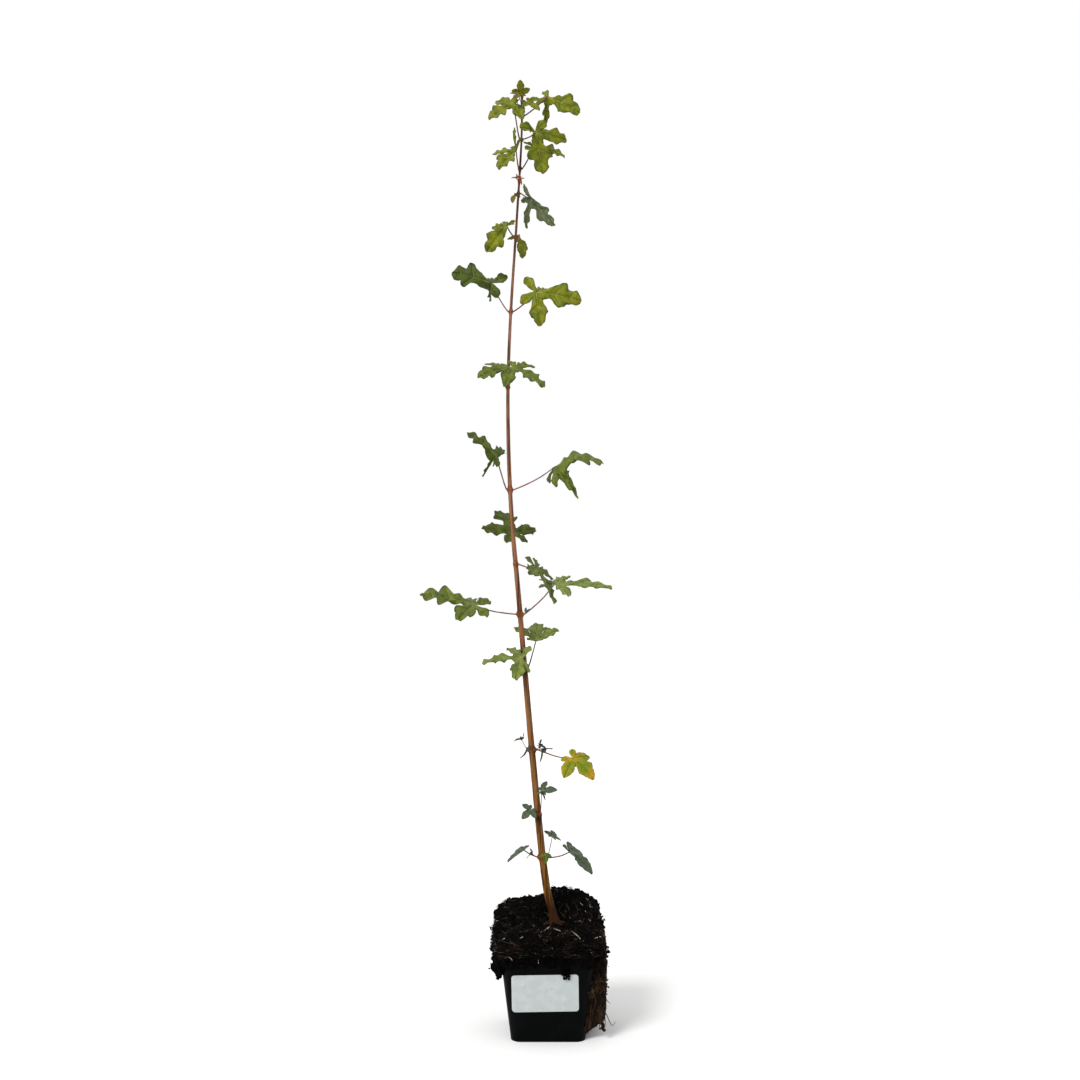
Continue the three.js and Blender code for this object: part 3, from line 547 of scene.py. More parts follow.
def half_lobe(lobe, side, lift, notch_lift, twist, young, narrow, rng):
    """Half a lobe, for a middle lobe 1 long. Rows run from the notch to the tip, and columns from the vein to
    the margin. The first row runs from the blade's middle to the notch, so it is the same for the lobe beside
    it. Twist turns the half about its vein, in degrees. Young blends its margin into a lens, from 0 to 1, and
    narrow is the share of its width that it keeps. Gives where each point is, how far off its vein's level,
    its vein and margin marks, and its lift."""
    turn, reach, margin = LOBES[lobe]
    notch_turn, notch_reach = NOTCHES[lobe + (side + 1) // 2]
    notch_turn = math.radians(notch_turn - turn)
    notch_reach *= 1 + YOUNG_WEB * young
    start = (notch_reach * math.cos(notch_turn) / reach, abs(notch_reach * math.sin(notch_turn)) / reach)
    outer = [start, *(point[:2] for point in margin), (1.0, 0.0)]
    inner = [FIRST_FOOT, *(foot for _, _, foot in margin), 1.0]
    spans = len(outer) - 1
    step = np.linspace(0, spans, spans * SPAN_ROWS + 1)
    ease = np.clip(step, 0, 1) * np.clip(spans - step, 0, 1)
    edge = through(outer, step / spans)
    lens = YOUNG_LENS * np.sin(np.pi * np.clip(edge[:, 0], 0, 1)) ** LENS_BLUNT
    edge[:, 1] += (lens - edge[:, 1]) * YOUNG_SHARE * young * np.clip(step, 0, 1)
    edge[:, 1] *= 1 + (narrow - 1) * np.clip(step, 0, 1)
    edge[:, 1] += TOOTH * ease * np.sin(TOOTH_TURN * step + rng.uniform(0, PHASES))
    vein = np.interp(step, range(spans + 1), inner)
    vein = np.insert(vein, 0, 0)
    step, ease = (np.insert(values, 0, 0)[:, None] for values in (step, ease))
    edge = np.vstack([edge[:1], edge])
    far = vein[:, None] + (edge[:, :1] - vein[:, None]) * across
    wide = np.maximum(edge[:, 1:], 0) * across
    widths = [place[1] for place in outer]
    teeth = [k for k in range(1, spans) if widths[k - 1] <= widths[k] > widths[k + 1]]
    near = sum(np.exp(-(((step - k) / SIDE_VEIN_WIDE) ** 2)) for k in teeth)
    side_vein = near * (1 - across) ** SIDE_VEIN_FADE * ease
    main_vein = np.exp(-((wide / VEIN_WIDE) ** 2)) * (1 - VEIN_TAPER * np.clip(far, 0, 1))
    main_vein[0] = np.exp(-((across / HUB_WIDE) ** 2))
    depth = np.full_like(step, reach)
    depth[0] = 1
    off = np.sin(np.radians(CUP + side * twist)) * wide * np.clip(step, 0, 1) * reach
    off = off + depth * (PUFF * (1 - near) * np.sin(np.pi * across) * ease - SIDE_VEIN_SINK * side_vein)
    off = off - depth * VEIN_SINK * main_vein
    ripple = RIPPLE * narrow * (1 - YOUNG_CALM * young)
    off = off + reach * ripple * np.sin(step * RIPPLE_TURN + rng.uniform(0, PHASES)) * across**2 * ease
    rim = np.tile(across, (len(vein), 1))
    rim[-1] = 1
    lifts = lift + (notch_lift - lift) * np.clip(1 - step, 0, 1) * across
    lifts[0] = notch_lift * (across > 0)
    c, s = reach * math.cos(math.radians(turn)), reach * math.sin(math.radians(turn))
    x, y = c * far - side * s * wide, s * far + side * c * wide
    return x, y, off, np.maximum(main_vein, SIDE_VEIN_SHOWN * side_vein), rim, lifts


def heel_patch(side, notch_lift, young):
    """The small patch between a basal notch and the heel, where the stalk comes in."""
    turn, reach = NOTCHES[-1 if side > 0 else 0]
    reach *= 1 + YOUNG_WEB * young
    x = np.stack([reach * math.cos(math.radians(turn)) * across, -HEEL * across])
    y = np.stack([reach * math.sin(math.radians(turn)) * across, 0 * across])
    vein = np.tile(np.exp(-((across / HUB_WIDE) ** 2)), (2, 1))
    lifts = np.stack([notch_lift * (across > 0), 0 * across])
    return x, y, -VEIN_SINK * vein, vein, np.tile(across, (2, 1)), lifts


def flat_blade(lifts, young, narrow, rng):
    """All the half lobes and the heel: their fields end to end, and their faces, seen from above."""
    notch_lifts = [lifts[0], *((lifts[1:] + lifts[:-1]) / 2), lifts[-1]]
    sides = [(lobe, side) for lobe in range(len(LOBES)) for side in (-1, 1)]
    twists = rng.uniform(-TWIST, TWIST, len(LOBES))
    parts = []
    for lobe, side in sides:
        notch_lift = notch_lifts[lobe + (side + 1) // 2]
        parts.append(half_lobe(lobe, side, lifts[lobe], notch_lift, twists[lobe], young, narrow, rng))
    parts += [heel_patch(-1, notch_lifts[0], young), heel_patch(1, notch_lifts[-1], young)]
    turned = [side > 0 for _, side in sides] + [True, False]
    faces, count = [], 0
    for (x, *_), flip in zip(parts, turned):
        quads = grid_faces(*x.shape) + count
        faces.append(quads[:, ::-1] if flip else quads)
        count += x.size
    fields = [np.concatenate([field.ravel() for field in same]) for same in zip(*parts)]
    return fields, np.concatenate(faces)


# %% One leaf, in its place
BLADE_THICK, KEEL = 0.3, 0.5
STALK_PLACES, STALK_SIDES, STALK_CROWD = 14, 8, 1.3
STALK_FOOT, STALK_END, STALK_SWELL, SWELL_LONG = 0.8, 0.5, 1.5, 0.06
STALK_DEEP, STALK_UNDER, STALK_ONTO, BOW_AT = 0.4, 0.75, 0.03, 0.6
# A leaf smaller than this has a thinner blade, and a stalk of this share of the thickness
SMALL_LEAF, SMALL_STALK = 18, 0.6
# A curl of nearly nothing, so that a flat leaf divides by more than 0, and the mark where the margin begins
NO_CURL, MARGIN_FROM = 1e-7, 0.999


def stance(joint, stalk, tip, face):
    """Where a leaf stands: the way out, its stalk's start on the stem, its heel, its directions, its size."""
    height = np.array([float(JOINTS[joint - 1])])
    middle = stem_middle(height)[0]
    out = unit(np.array([stalk[0], stalk[1], 0.0]))
    start = middle + out * (stem_radius(height)[0] - STALK_DEEP)
    size = float(np.linalg.norm(tip))
    along = np.array(tip, float) / size
    face = np.array(face, float)
    face = unit(face - face.dot(along) * along)
    return out, start, middle + stalk, along, face, np.cross(face, along), size


def settle(joint, place, droop, x, y, off, lift):
    """Curls the flat blade down along an arc, stands points off their vein, and turns them up by their lift.
    With r the reach, k the curl and e the lift, a point goes sin(k r) / k out and off - (1 - cos(k r)) / k
    up, and that pair is turned by e."""
    _, _, heel, along, face, left, size = place
    reach, turn = np.hypot(x, y) * size, np.arctan2(y, x)
    curl = np.radians(droop) * (1 + UNEVEN * np.cos(2 * turn + joint * 2)) / size + NO_CURL
    out = np.sin(curl * reach) / curl
    up = off * size - (1 - np.cos(curl * reach)) / curl
    lift = np.radians(lift)
    flat, high = out * np.cos(lift) - up * np.sin(lift), out * np.sin(lift) + up * np.cos(lift)
    spread = along * (flat * np.cos(turn))[:, None] + left * (flat * np.sin(turn))[:, None]
    return heel + spread + face * high[:, None]


def sheet_normals(points, faces):
    """Each point's normal: the sum of its faces' crossed diagonals, made one long."""
    a, b, c, d = (points[faces[:, k]] for k in range(4))
    crossed = np.cross(c - a, d - b)
    total = np.zeros_like(points)
    for k in range(4):
        np.add.at(total, faces[:, k], crossed)
    return unit(total)


def stalk_tube(place):
    """The stalk leaves the stem sideways from a swollen foot, sags a little, and ends under the blade."""
    out, start, heel, along, face, left, size = place
    length = np.linalg.norm(heel - start)
    elbow = start + out * min(STALK_SHOULDER, length / 4)
    bow = elbow + (heel - elbow) * BOW_AT - np.array([0, 0, STALK_SAG * length])
    thin = 1.0 if size > SMALL_LEAF else SMALL_STALK
    under = heel - face * STALK_UNDER * thin
    end = under + along * STALK_ONTO * size
    shares = np.linspace(0, 1, STALK_PLACES) ** STALK_CROWD
    line = through([start, elbow, bow, under, end], shares)
    radius = STALK_FOOT + (STALK_END - STALK_FOOT) * shares + STALK_SWELL * np.exp(-shares / SWELL_LONG)
    radius = radius * thin
    return tubes(line[None], radius[None], STALK_SIDES, left[None])


def leaf_mesh(joint, stalk, tip, face, lift, droop, tint, narrow, seed):
    """A leaf's points, faces and marks: the blade, closed by its underside, and the stalk. How thick the
    blade is falls with the fourth power of the margin mark, and its veins stand out below as a keel."""
    place = stance(joint, stalk, tip, face)
    rng = np.random.default_rng(seed)
    young = min(max((YOUNG_BELOW - place[-1]) / YOUNG_FADE, STUNTED.get(tint, 0)), 1)
    fields, blade_faces = flat_blade(np.array([*lift[:2], 0, *lift[2:]], float), young, narrow, rng)
    x, y, off, vein, margin, lifts = fields
    points, faces, kept = merged(settle(joint, place, droop, x, y, off, lifts), blade_faces)
    margin, vein = margin[kept], vein[kept]
    upward = sheet_normals(points, faces)
    inner = margin < MARGIN_FROM
    thick = (BLADE_THICK * (1 - margin**4) + KEEL * vein * (1 - margin)) * min(1, place[-1] / SMALL_LEAF)
    below = points[inner] - upward[inner] * thick[inner, None]
    number = np.arange(len(points))
    number[inner] = len(points) + np.arange(inner.sum())
    both = np.vstack([points, below])
    faces = np.vstack([faces, number[faces][:, ::-1]])
    tube, tube_faces = stalk_tube(place)
    none, rest = np.zeros(len(tube)), np.zeros(len(points))
    marks = {
        "vein": np.concatenate([vein, vein[inner], none]),
        "margin": np.concatenate([margin, margin[inner], none]),
        "under": np.concatenate([rest, np.ones(len(below)), none]),
        "stalk": np.concatenate([np.zeros(len(both)), none + 1]),
    }
    return np.vstack([both, tube]), np.vstack([faces, tube_faces + len(both)]), marks


# %% All the leaves
# Wilted leaves and dry scraps, whose lobes have drawn in to a share of their width
WILTED = {
    "leaf_5_right": 0.65, "leaf_7_left": 0.8, "leaf_11_right": 0.6,
    "scrap_3_left": 0.6, "scrap_3_low": 0.6, "scrap_3_right": 0.7, "scrap_3_thread": 0.5,
    "bract_12_left": 0.55, "bract_12_right": 0.55, "bract_12_back": 0.55,
}  # fmt: skip

leaf_faces = 0
for seed, (name, leaf) in enumerate({**LEAVES, **SCRAPS}.items()):
    points, faces, marks = leaf_mesh(*leaf, WILTED.get(name, 1), seed)
    tint = leaf[-1]
    solids = [name] if name in LEAVES else []
    piece = make_piece(f"maple_{name}", points, faces, foliage[tint], solids, marks)
    leaf_faces += len(piece.data.polygons)
print("leaves and scraps:", leaf_faces, "faces")

# %% [markdown]
# ## The compost and roots
# A root-bound sapling lifts its compost over the pot's rim, so the top is a squarish cap with a skirt, higher
# at the back. The wall has split on the right, and the brown mat of roots bulges out. Each is its solid's
# lump again, a ball pushed out to squarish sides, on a fine grid with several sizes of clod added. Crumbs are
# strewn over it, and loose fibres are laid by following the surface from a random place.

# %% The lumps, as in the solids
BALL_HALF, BALL_MIDDLE, BALL_TALL, BALL_SQUARENESS, BALL_CLUMP = 52, 89, 14, 8, 1.6
SKIRT_FROM, SKIRT_WIDE, SKIRT_DROP = -39, 10, 18
# How far the back rises, and how far below the cap's middle that sets in, as a share of its half height
BACK_RISE, RISE_BELOW = 16, 0.3
MOUND_X, MOUND_Y, MOUND_LONG, MOUND_WIDE, MOUND_HEIGHT = 17, 34, 28, 22, 14
BULGE_X, BULGE_Z, BULGE_HALF, BULGE_SQUARENESS = 33.5, 53, (22.5, 34, 50), 6
BULGE_CHIN, BULGE_SLANT = 20, 1.1
# The waves that swell a lump, in radians to the millimetre: a crossed pair, and a slanting one of this share
CROSS_X, CROSS_Y, CROSS_Z = 0.21, 0.19, 0.12
SLANT_X, SLANT_Y, SLANT_Z, SLANT_SHARE = 0.1, 0.27, 0.33, 0.6
# A slanting way to take a direction's sides from, and the step that a normal is measured over
ASIDE, NORMAL_STEP = (0.31, 0.47, 0.83), 0.004


def lump(direction, half, middle, squareness):
    """A squarish lump about a middle: a direction is divided by the sum of its parts' powers, to the root,
    then stretched to the half sizes and swollen by a few crossing waves."""
    size = (np.abs(direction) ** squareness).sum(-1, keepdims=True) ** (-1 / squareness)
    x, y, z = np.moveaxis(direction * size * half, -1, 0)
    crossed = np.sin(x * CROSS_X + z * CROSS_Z) * np.sin(y * CROSS_Y + 1)
    clump = crossed + SLANT_SHARE * np.sin(z * SLANT_Z + x * SLANT_X + y * SLANT_Y)
    return direction * size * half * (1 + BALL_CLUMP * clump[..., None] / BALL_HALF) + middle


def cap_surface(direction):
    """The cap: a lump over the rim that rises to the back and into a mound, with a skirt on its left."""
    at = lump(direction, (BALL_HALF, BALL_HALF, BALL_TALL), (0, 0, BALL_MIDDLE), BALL_SQUARENESS)
    x, y, z = np.moveaxis(at, -1, 0)
    height = (z - BALL_MIDDLE) / BALL_TALL
    back = np.clip((y + BALL_HALF) / (2 * BALL_HALF), 0, 1)
    away = ((x - MOUND_X) / MOUND_LONG) ** 2 + ((y - MOUND_Y) / MOUND_WIDE) ** 2
    rise = BACK_RISE * back**2 + MOUND_HEIGHT * np.exp(-(away**2))
    left = np.clip((SKIRT_FROM - x) / SKIRT_WIDE, 0, 1)
    z = z + np.clip(height + RISE_BELOW, 0, 1) * rise - np.clip(-height, 0, 1) * left * SKIRT_DROP
    return np.stack([x, y, z], -1)


def bulge_surface(direction):
    """The bulge: a lump through the split wall, whose underside slants in towards the pot's foot."""
    at = lump(direction, BULGE_HALF, (BULGE_X, 0, BULGE_Z), BULGE_SQUARENESS)
    x, y, z = np.moveaxis(at, -1, 0)
    share = np.clip((x - BULGE_X) / BULGE_HALF[0], 0, 1)
    return np.stack([x - share * BULGE_SLANT * np.maximum(0, BULGE_CHIN - z), y, z], -1)


def out_of(shape, direction):
    """The surface's outward normal where a direction meets it, from two steps along it."""
    side = unit(np.cross(direction, ASIDE))
    over = np.cross(direction, side)
    here = shape(direction)
    first = shape(unit(direction + side * NORMAL_STEP)) - here
    second = shape(unit(direction + over * NORMAL_STEP)) - here
    return unit(np.cross(first, second))


def directions(rows, columns, crowding):
    """A grid of directions over a ball, closer together where a squarish lump's sides turn."""
    polar, around = np.linspace(0, np.pi, rows), np.arange(columns) * 2 * np.pi / columns
    around = around - crowding * np.sin(4 * around) / 4
    ring = np.stack([np.cos(around), np.sin(around), 0 * around], -1)
    return ring * np.sin(polar)[:, None, None] + np.array([0, 0, 1]) * np.cos(polar)[:, None, None]


# %% Compost
# Peat, bark fines and fibre: nearly black where moist, with brown crumbs and no gloss
compost, tree, shader = new_material("moist_compost", 0.95, 0.03)
crumb_noise = pattern(tree, 800, 5)
patches = pattern(tree, 90, 3)
dark = mixed(tree, ranged(tree, crumb_noise, 0.5, 0.75), "#020202", "#110e0c")
brown = mixed(tree, ranged(tree, crumb_noise, 0.48, 0.72), "#040303", "#190e0b")
finish(tree, shader, mixed(tree, ranged(tree, patches, 0.45, 0.68), dark, brown), crumb_noise, 0.0015)

# Fine roots pressed flat by the pot's wall: a felt of brown threads, streaked up and down
root_mat, tree, shader = new_material("root_mat", 0.9, 0.05)
threads = pattern(tree, 300, 5, (1, 1, 0.25))
felt = pattern(tree, 70, 3)
colour = mixed(tree, ranged(tree, threads, 0.42, 0.68), "#0a0705", "#43301f")
colour = mixed(tree, ranged(tree, felt, 0.44, 0.6, 0, 0.8), colour, "#120c08")
colour = mixed(tree, mark(tree, "buried"), colour, "#090605")
finish(tree, shader, colour, threads, 0.002)

# %% The cap and the bulge
# Each grid's rows and columns, and how much its columns crowd where the lump's sides turn
CAP_GRID = (190, 460, 0.5)
BULGE_GRID = (150, 200, 0.3)
# Each size of clod in millimetres, and how far it stands out
CLODS, CLOD_SEED = [(12.0, 2.6), (6.0, 3.0), (2.6, 1.7), (1.3, 0.6)], 11
CALM_BELOW, CALM_HIGH = 4, 10
BURIED_FROM, BURIED_DEEP, BURIED_SHARE = 58, 10, 0.85


def rough_lump(shape, rows, columns, crowding):
    """A lump's fine surface, with each size of clod added along its normals, but none on the pot's floor."""
    grid = directions(rows, columns, crowding)
    points = shape(grid)
    relief = sum(high * grain(points, size, CLOD_SEED + k) for k, (size, high) in enumerate(CLODS))
    relief = relief * np.clip((points[..., 2] - CALM_BELOW) / CALM_HIGH, 0, 1)
    points = points + out_of(shape, grid) * relief[..., None]
    points[0], points[-1] = points[0].mean(0), points[-1].mean(0)
    points, faces, _ = merged(points.reshape(-1, 3), grid_faces(rows, columns, ring=True)[:, ::-1])
    return points, faces


cap_points, cap_faces = rough_lump(cap_surface, *CAP_GRID)
make_piece("compost_cap", cap_points, cap_faces, compost, ["root_ball"])
bulge_points, bulge_faces = rough_lump(bulge_surface, *BULGE_GRID)
buried = {"buried": np.clip((bulge_points[:, 2] - BURIED_FROM) / BURIED_DEEP, 0, BURIED_SHARE)}
make_piece("root_bulge", bulge_points, bulge_faces, root_mat, marks=buried)
print("compost:", len(cap_faces) + len(bulge_faces), "faces")

# %% Crumbs
OCTAHEDRON = np.array([(1, 0, 0), (-1, 0, 0), (0, 1, 0), (0, -1, 0), (0, 0, 1), (0, 0, -1)], float)
OCTAHEDRON_FACES = [(0, 2, 4), (2, 1, 4), (1, 3, 4), (3, 0, 4), (2, 0, 5), (1, 2, 5), (3, 1, 5), (0, 3, 5)]
# How far a crumb's corners reach, as shares of its size
CORNER_REACH = (0.5, 1.2)


def crumbs(places, sizes, rng):
    """Small angular lumps: at each place an eight-sided body, with uneven corners, turned at random."""
    first = unit(rng.normal(size=places.shape))
    second = unit(np.cross(first, rng.normal(size=places.shape)))
    turn = np.stack([first, second, np.cross(first, second)], 1)
    corners = OCTAHEDRON * rng.uniform(*CORNER_REACH, (len(places), len(OCTAHEDRON), 1))
    points = places[:, None] + (corners @ turn) * sizes[:, None, None]
    faces = np.array(OCTAHEDRON_FACES) + (np.arange(len(places)) * len(OCTAHEDRON))[:, None, None]
    return points.reshape(-1, 3), faces.reshape(-1, 3)


def strewn(name, surface, count, sizes, scatter, seed, material):
    """Crumbs at random points of a surface, each a little way off it."""
    rng = np.random.default_rng(seed)
    places = surface[rng.integers(len(surface), size=count)] + rng.normal(size=(count, 3)) * scatter
    lengths = sizes[0] + (sizes[1] - sizes[0]) * rng.random(count) ** 2
    points, faces = crumbs(places, lengths, rng)
    make_piece(name, points, faces, material, smooth=False)
    print(name, len(faces), "faces")


# Where crumbs lie: on the cap above the skirt's lower part, on the skirt's left side, and on the outer part
# of the bulge
CAP_ABOVE = 74
SKIRT_LEFT_OF, SKIRT_BEFORE, SKIRT_UNDER = -45, 10, 82
BULGE_RIGHT_OF, BULGE_ABOVE = 44, 14
shown_cap = cap_points[cap_points[:, 2] > CAP_ABOVE]
x, y, z = cap_points.T
skirt = cap_points[(x < SKIRT_LEFT_OF) & (y < SKIRT_BEFORE) & (z < SKIRT_UNDER)]
shown_bulge = bulge_points[(bulge_points[:, 0] > BULGE_RIGHT_OF) & (bulge_points[:, 2] > BULGE_ABOVE)]
# The clod that has slid down over the label's upper edge: its two ends, and how its trail sways between
SLIDE_TOP, SLIDE_BOTTOM, SLIDE_PLACES = (17, -48.5, 77), (18, -46.6, 64), 30
SLIDE_TURN, SLIDE_SWAY = 2.4, (3.2, 0.4, 0.6)
slide = np.linspace(SLIDE_TOP, SLIDE_BOTTOM, SLIDE_PLACES)
slide = slide + np.sin(np.arange(SLIDE_PLACES) * SLIDE_TURN)[:, None] * SLIDE_SWAY
# The tuft of soil and roots that hangs out at the foot of the bulge
TUFT_TOP, TUFT_BOTTOM, TUFT_PLACES = (51, -28, 30), (54, -31, 10), 30
tuft = np.linspace(TUFT_TOP, TUFT_BOTTOM, TUFT_PLACES)
# The tuft of compost that stands out of the cap's left side
SIDE_TUFT_IN, SIDE_TUFT_OUT, SIDE_TUFT_PLACES = (-50, 0, 99), (-57.5, -1, 101.5), 20
side_tuft = np.linspace(SIDE_TUFT_IN, SIDE_TUFT_OUT, SIDE_TUFT_PLACES)

# What is strewn: where, how many, the least and greatest size, how far they scatter, the seed, the material
STREWN = {
    "cap_crumbs": (shown_cap, 4200, (0.5, 1.9), 0.7, 21, compost),
    "cap_clods": (shown_cap, 700, (1.0, 3.0), 1.3, 26, compost),
    "skirt_clods": (skirt, 160, (1.2, 2.8), 1.2, 22, compost),
    "bulge_crumbs": (shown_bulge, 700, (0.4, 1.6), 0.5, 23, compost),
    "bulge_clods": (shown_bulge, 170, (1.0, 2.6), 1.0, 27, root_mat),
    "slid_clod": (slide, 70, (1.0, 2.2), 0.4, 24, compost),
    "root_tuft": (tuft, 80, (0.6, 1.9), 0.9, 28, root_mat),
    "side_tuft": (side_tuft, 45, (0.6, 1.7), 0.8, 29, compost),
}
for name, row in STREWN.items():
    strewn(name, *row)

# %% Threads, roots and straws
# Dry plant threads are matt, and each kind's colour shifts from place to place
THREADS = {
    "dark_fibre": ("#0c0908", "#221b18"),
    "brown_root": ("#2c1e14", "#4c3626"),
    "grey_rootlet": ("#3c3630", "#7c746a"),
    "pale_straw": ("#8c8474", "#c9c2b4"),
}
thread_material = {}
for name, (colour, other) in THREADS.items():
    material, tree, shader = new_material(name, 0.85, 0.1)
    shade = pattern(tree, 140, 2)
    finish(tree, shader, mixed(tree, ranged(tree, shade, 0.35, 0.65), colour, other))
    thread_material[name] = material

FIBRE_PLACES, FIBRE_SIDES = 7, 3
# A fibre this many millimetres long turns its direction by about a radian
WANDER = 52
# How many places are drawn for each fibre, as many lie on a hidden side, and how much a leaning one strays
SPARE, STRAY = 6, 0.35
# How far fibres bend aside, how high their middles lie, and how unevenly thick they are
FIBRE_BEND, FIBRE_ABOVE, FIBRE_UNEVEN = (-1.4, 1.4), (0.3, 1.4), (0.6, 1.2)
# The lowest directions that fibres start from, on the cap and on the bulge, and the least outward one there
CAP_LOWEST, BULGE_LOWEST, BULGE_OUTWARD = -0.1, -0.8, 0.12


def laid_fibres(shape, count, lengths, radius, seed, keep, lean=None, lift=1.2):
    """Fibres laid on a lump: from random places, each follows the surface in its own direction, and its ends
    stand off by up to the lift. Keep says which directions are used, and lean is a way that most of them
    run. With s from -0.5 to 0.5 along a fibre, the bend and the lift grow with s squared."""
    rng = np.random.default_rng(seed)
    start = unit(rng.normal(size=(count * SPARE, 3)))
    start = start[keep(start)][:count]
    heading = rng.normal(size=start.shape)
    if lean is not None:
        heading = heading * STRAY + np.array(lean)
    heading = unit(heading - (heading * start).sum(-1, keepdims=True) * start)
    turn = unit(np.cross(start, heading))
    each = (len(start), 1)
    length = rng.uniform(*lengths, size=each)
    bend = rng.uniform(*FIBRE_BEND, size=each)
    s = np.linspace(-0.5, 0.5, FIBRE_PLACES)
    travel, swing = length / WANDER * s, bend * length / WANDER * s**2
    path = unit(start[:, None] + heading[:, None] * travel[..., None] + turn[:, None] * swing[..., None])
    above = rng.uniform(*FIBRE_ABOVE, size=each) + lift * rng.random(each) * 4 * s**2
    line = shape(path) + out_of(shape, path) * above[..., None]
    thick = rng.uniform(*FIBRE_UNEVEN, size=each) * radius * (1 - 3 * s**2)
    return tubes(line, thick, FIBRE_SIDES, out_of(shape, start))


def upper_side(direction):
    """The part of the cap that shows: its top and its sides down to the skirt's edge."""
    return direction[:, 2] > CAP_LOWEST


def outer_side(direction):
    """The part of the bulge that stands out of the split."""
    return (direction[:, 0] > BULGE_OUTWARD) & (direction[:, 2] > BULGE_LOWEST)


UPRIGHT = (0, 0.1, 1)
for name, made, kind in (
    ("cap_fibres", laid_fibres(cap_surface, 1300, (4, 14), 0.2, 1, upper_side, lift=4.5), "dark_fibre"),
    ("cap_roots", laid_fibres(cap_surface, 140, (5, 16), 0.2, 2, upper_side, lift=3.5), "brown_root"),
    ("cap_rootlets", laid_fibres(cap_surface, 260, (3, 10), 0.14, 6, upper_side, lift=2.5), "grey_rootlet"),
    ("cap_straws", laid_fibres(cap_surface, 110, (1, 5), 0.18, 3, upper_side, lift=2.0), "pale_straw"),
    ("bulge_fibres", laid_fibres(bulge_surface, 420, (6, 20), 0.2, 4, outer_side, UPRIGHT), "dark_fibre"),
    ("bulge_roots", laid_fibres(bulge_surface, 230, (8, 30), 0.28, 5, outer_side, UPRIGHT), "brown_root"),
):
    points, faces = made
    make_piece(name, points, faces, thread_material[kind])
    print(name, len(faces), "faces")

# %% Single straws and roots
# Each straw's two ends, near the surface that it lies on, and its thickness
STRAWS = [
    ((-5, -24, 103), (2, -12, 103), 0.55), ((22, -25, 104), (31, -46, 102), 0.45),
    ((26, 30, 115), (37, 14, 112), 0.45), ((-28, -46, 100), (-20, -38, 102), 0.4),
    ((-12, -52, 91), (-9, -53, 81), 0.4), ((-3, -8, 103), (-3, -4, 104), 0.6),
    ((-36, 14, 106), (-33, 10, 106), 0.6), ((-38, -53, 88), (-34, -53, 84), 0.45),
    ((-44, -42, 100), (-41, -40, 101), 0.5), ((46, -40, 100), (48, -37, 100), 0.6),
    ((3, -15, 103), (11, -22, 103), 0.4), ((-8, -18, 103), (0, -16, 104), 0.4),
]  # fmt: skip
# Each loose root's places, out of the bulge
ROOTS = [
    [(51, -30, 30), (54, -31, 24), (53, -31, 16), (54, -30, 9)],
    [(50, -29, 28), (52, -30, 20), (50, -31, 13), (51, -31, 9)],
    [(50, -28, 31), (55, -29, 22), (56, -30, 16), (55, -30, 11)],
    [(52, -30, 30), (57, -30, 25), (60, -31, 18), (63, -31, 14), (66, -31, 18)],
    [(53, -27, 40), (57, -28, 38), (61, -29, 35)],
    [(54, -26, 54), (57, -27, 52), (59, -27, 51)],
]
# Straws: how high they lie, how far they bow and which way, how much they look up, and their taper
STRAW_ABOVE, STRAW_BOW, STRAW_WAY, STRAW_UP, STRAW_TAPER = 0.9, 1.2, (0.3, 0.3, 0.2), (0, 0, 0.6), 0.5
ROOT_PLACES, ROOT_WIDE, ROOT_TAPER = 12, 0.6, 0.7
# Where the surface roots start, at the stem's foot, and where each ends
FOOT = (7.3, 0, STEM_FOOT + 4.5)
ROOT_ENDS = [(-6, -9, 105), (1, -14, 105), (15, -11, 105), (21, -2, 105), (-4, 3, 105), (13, 12, 107)]
# How wide they are, how far they rise halfway, their taper, and how dark they are, as the bark's foot mark
FOOT_ROOT_WIDE, FOOT_ROOT_RISE, FOOT_ROOT_TAPER, FOOT_ROOT_DARK = 1.5, 1.4, 0.8, 0.7
# How many sides the thin rods have, and the thick ones
THIN_SIDES, THICK_SIDES = 5, 8


def on_cap(place):
    """The point of the cap that lies nearest to a place."""
    return cap_points[((cap_points - place) ** 2).sum(1).argmin()]


def rods(lines, radii, sides, up):
    """Tubes along lines that all have the same way up. Radii are given for each line, or once for all."""
    lines = np.array(lines)
    return tubes(lines, np.broadcast_to(radii, lines.shape[:2]), sides, np.tile(up, (len(lines), 1)))


lines, radii = [], []
for first, last, wide in STRAWS:
    ends = [on_cap(first), on_cap(last)]
    outward = unit(ends[0] + ends[1] - (0, 0, 2 * BALL_MIDDLE)) + STRAW_UP
    share = np.linspace(0, 1, FIBRE_PLACES)[:, None]
    bow = STRAW_BOW * np.sin(np.pi * share) * STRAW_WAY
    lines.append(ends[0] + (ends[1] - ends[0]) * share + outward * STRAW_ABOVE + bow)
    radii.append(wide * (1 - STRAW_TAPER * (2 * share[:, 0] - 1) ** 2))
points, faces = rods(lines, radii, THIN_SIDES, (0, 0, 1.0))
make_piece("straws", points, faces, thread_material["pale_straw"])

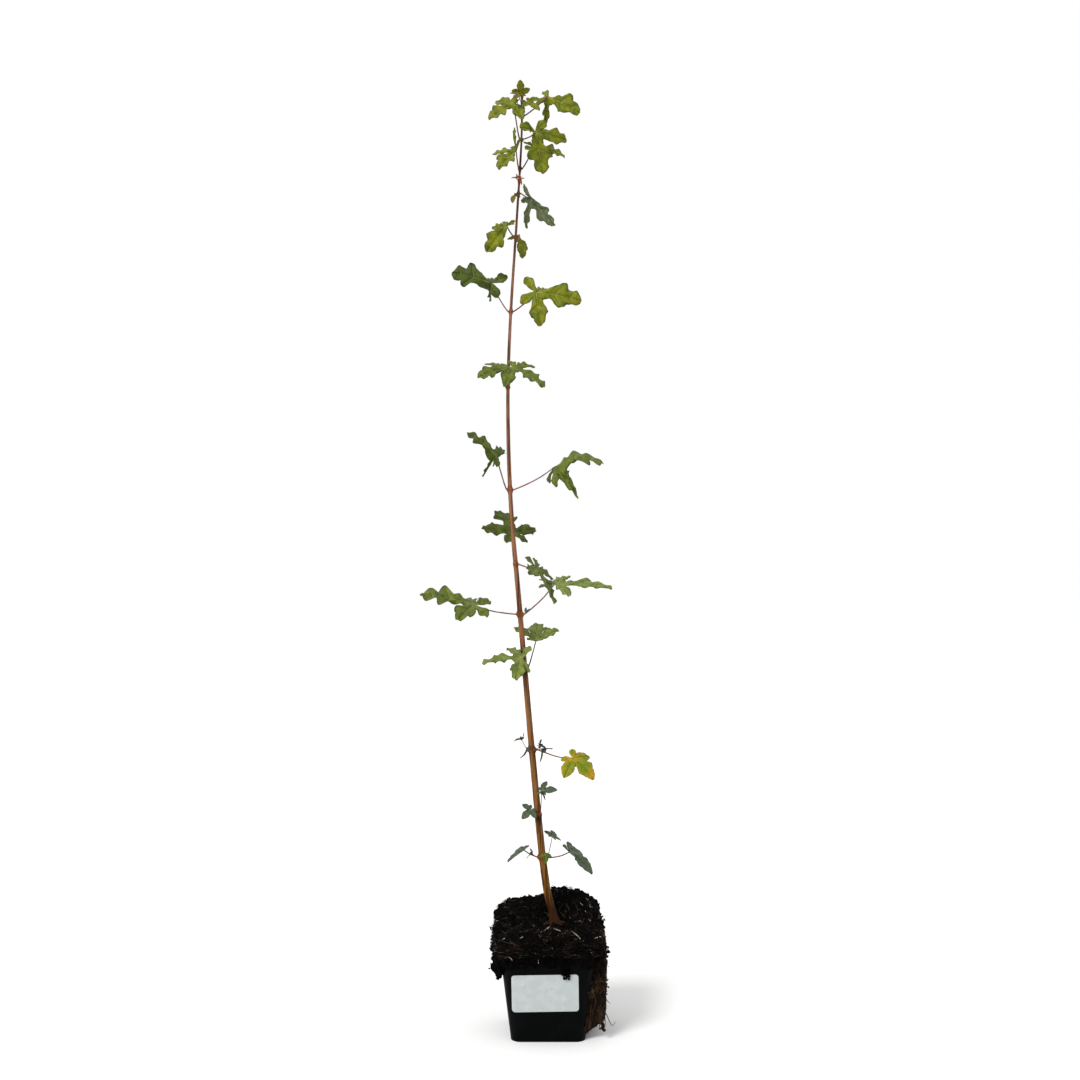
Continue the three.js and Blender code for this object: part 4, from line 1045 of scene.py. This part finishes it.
shares = np.linspace(0, 1, ROOT_PLACES)
lines = [through(places, shares) for places in ROOTS]
points, faces = rods(lines, ROOT_WIDE * (1 - ROOT_TAPER * shares), THIN_SIDES, (0, 1.0, 0))
make_piece("loose_roots", points, faces, thread_material["brown_root"])

foot = np.array(FOOT)
lines = []
for end in ROOT_ENDS:
    end = on_cap(end)
    half = on_cap((foot + end) / 2) + (0, 0, FOOT_ROOT_RISE)
    lines.append(through([foot, half, end], shares))
points, faces = rods(lines, FOOT_ROOT_WIDE * (1 - FOOT_ROOT_TAPER * shares), THICK_SIDES, (0, 0, 1.0))
near_foot = {"foot": np.full(len(points), FOOT_ROOT_DARK)}
make_piece("surface_roots", points, faces, bark, marks=near_foot)
print(len(STRAWS), "straws,", len(ROOTS), "loose roots and", len(ROOT_ENDS), "surface roots")

# %% [markdown]
# ## The pot and its label
# The pot is thin black polypropylene, thermoformed over a mould: a satin skin with a faint orange-peel grain.
# Its solid already has the taper, the split and the drain holes, so it stays and only gets its finish. The
# label is blank coated paper with a few specks of dirt, and it stays as well.

# %% The pot
pot_plastic, tree, shader = new_material("black_polypropylene", 0.45, 0.04)
peel = pattern(tree, 900, 2)
dust = pattern(tree, 45, 4)
finish(tree, shader, mixed(tree, ranged(tree, dust, 0.5, 0.75, 0, 0.6), "#010202", "#07080a"), peel, 0.0001)
tree.links.new(ranged(tree, dust, 0.3, 0.7, 0.38, 0.58), shader.inputs["Roughness"])

# %% The label
label_paper, tree, shader = new_material("coated_paper", 0.5, 0.3)
smear = pattern(tree, 120, 3)
fleck = pattern(tree, 420, 2)
paper = mixed(tree, ranged(tree, smear, 0.4, 0.7), "#a2a9a9", "#acb2b1")
paper = mixed(tree, ranged(tree, fleck, 0.72, 0.78, 0, 0.7), paper, "#4a443c")
finish(tree, shader, paper, smear, 0.0001)

# %% Both kept solids get their finish
for name, material in {"pot": pot_plastic, "label": label_paper}.items():
    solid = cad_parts[name]
    solid.data.materials.clear()
    solid.data.materials.append(material)
    print(name, "keeps its shape, in", material.name)
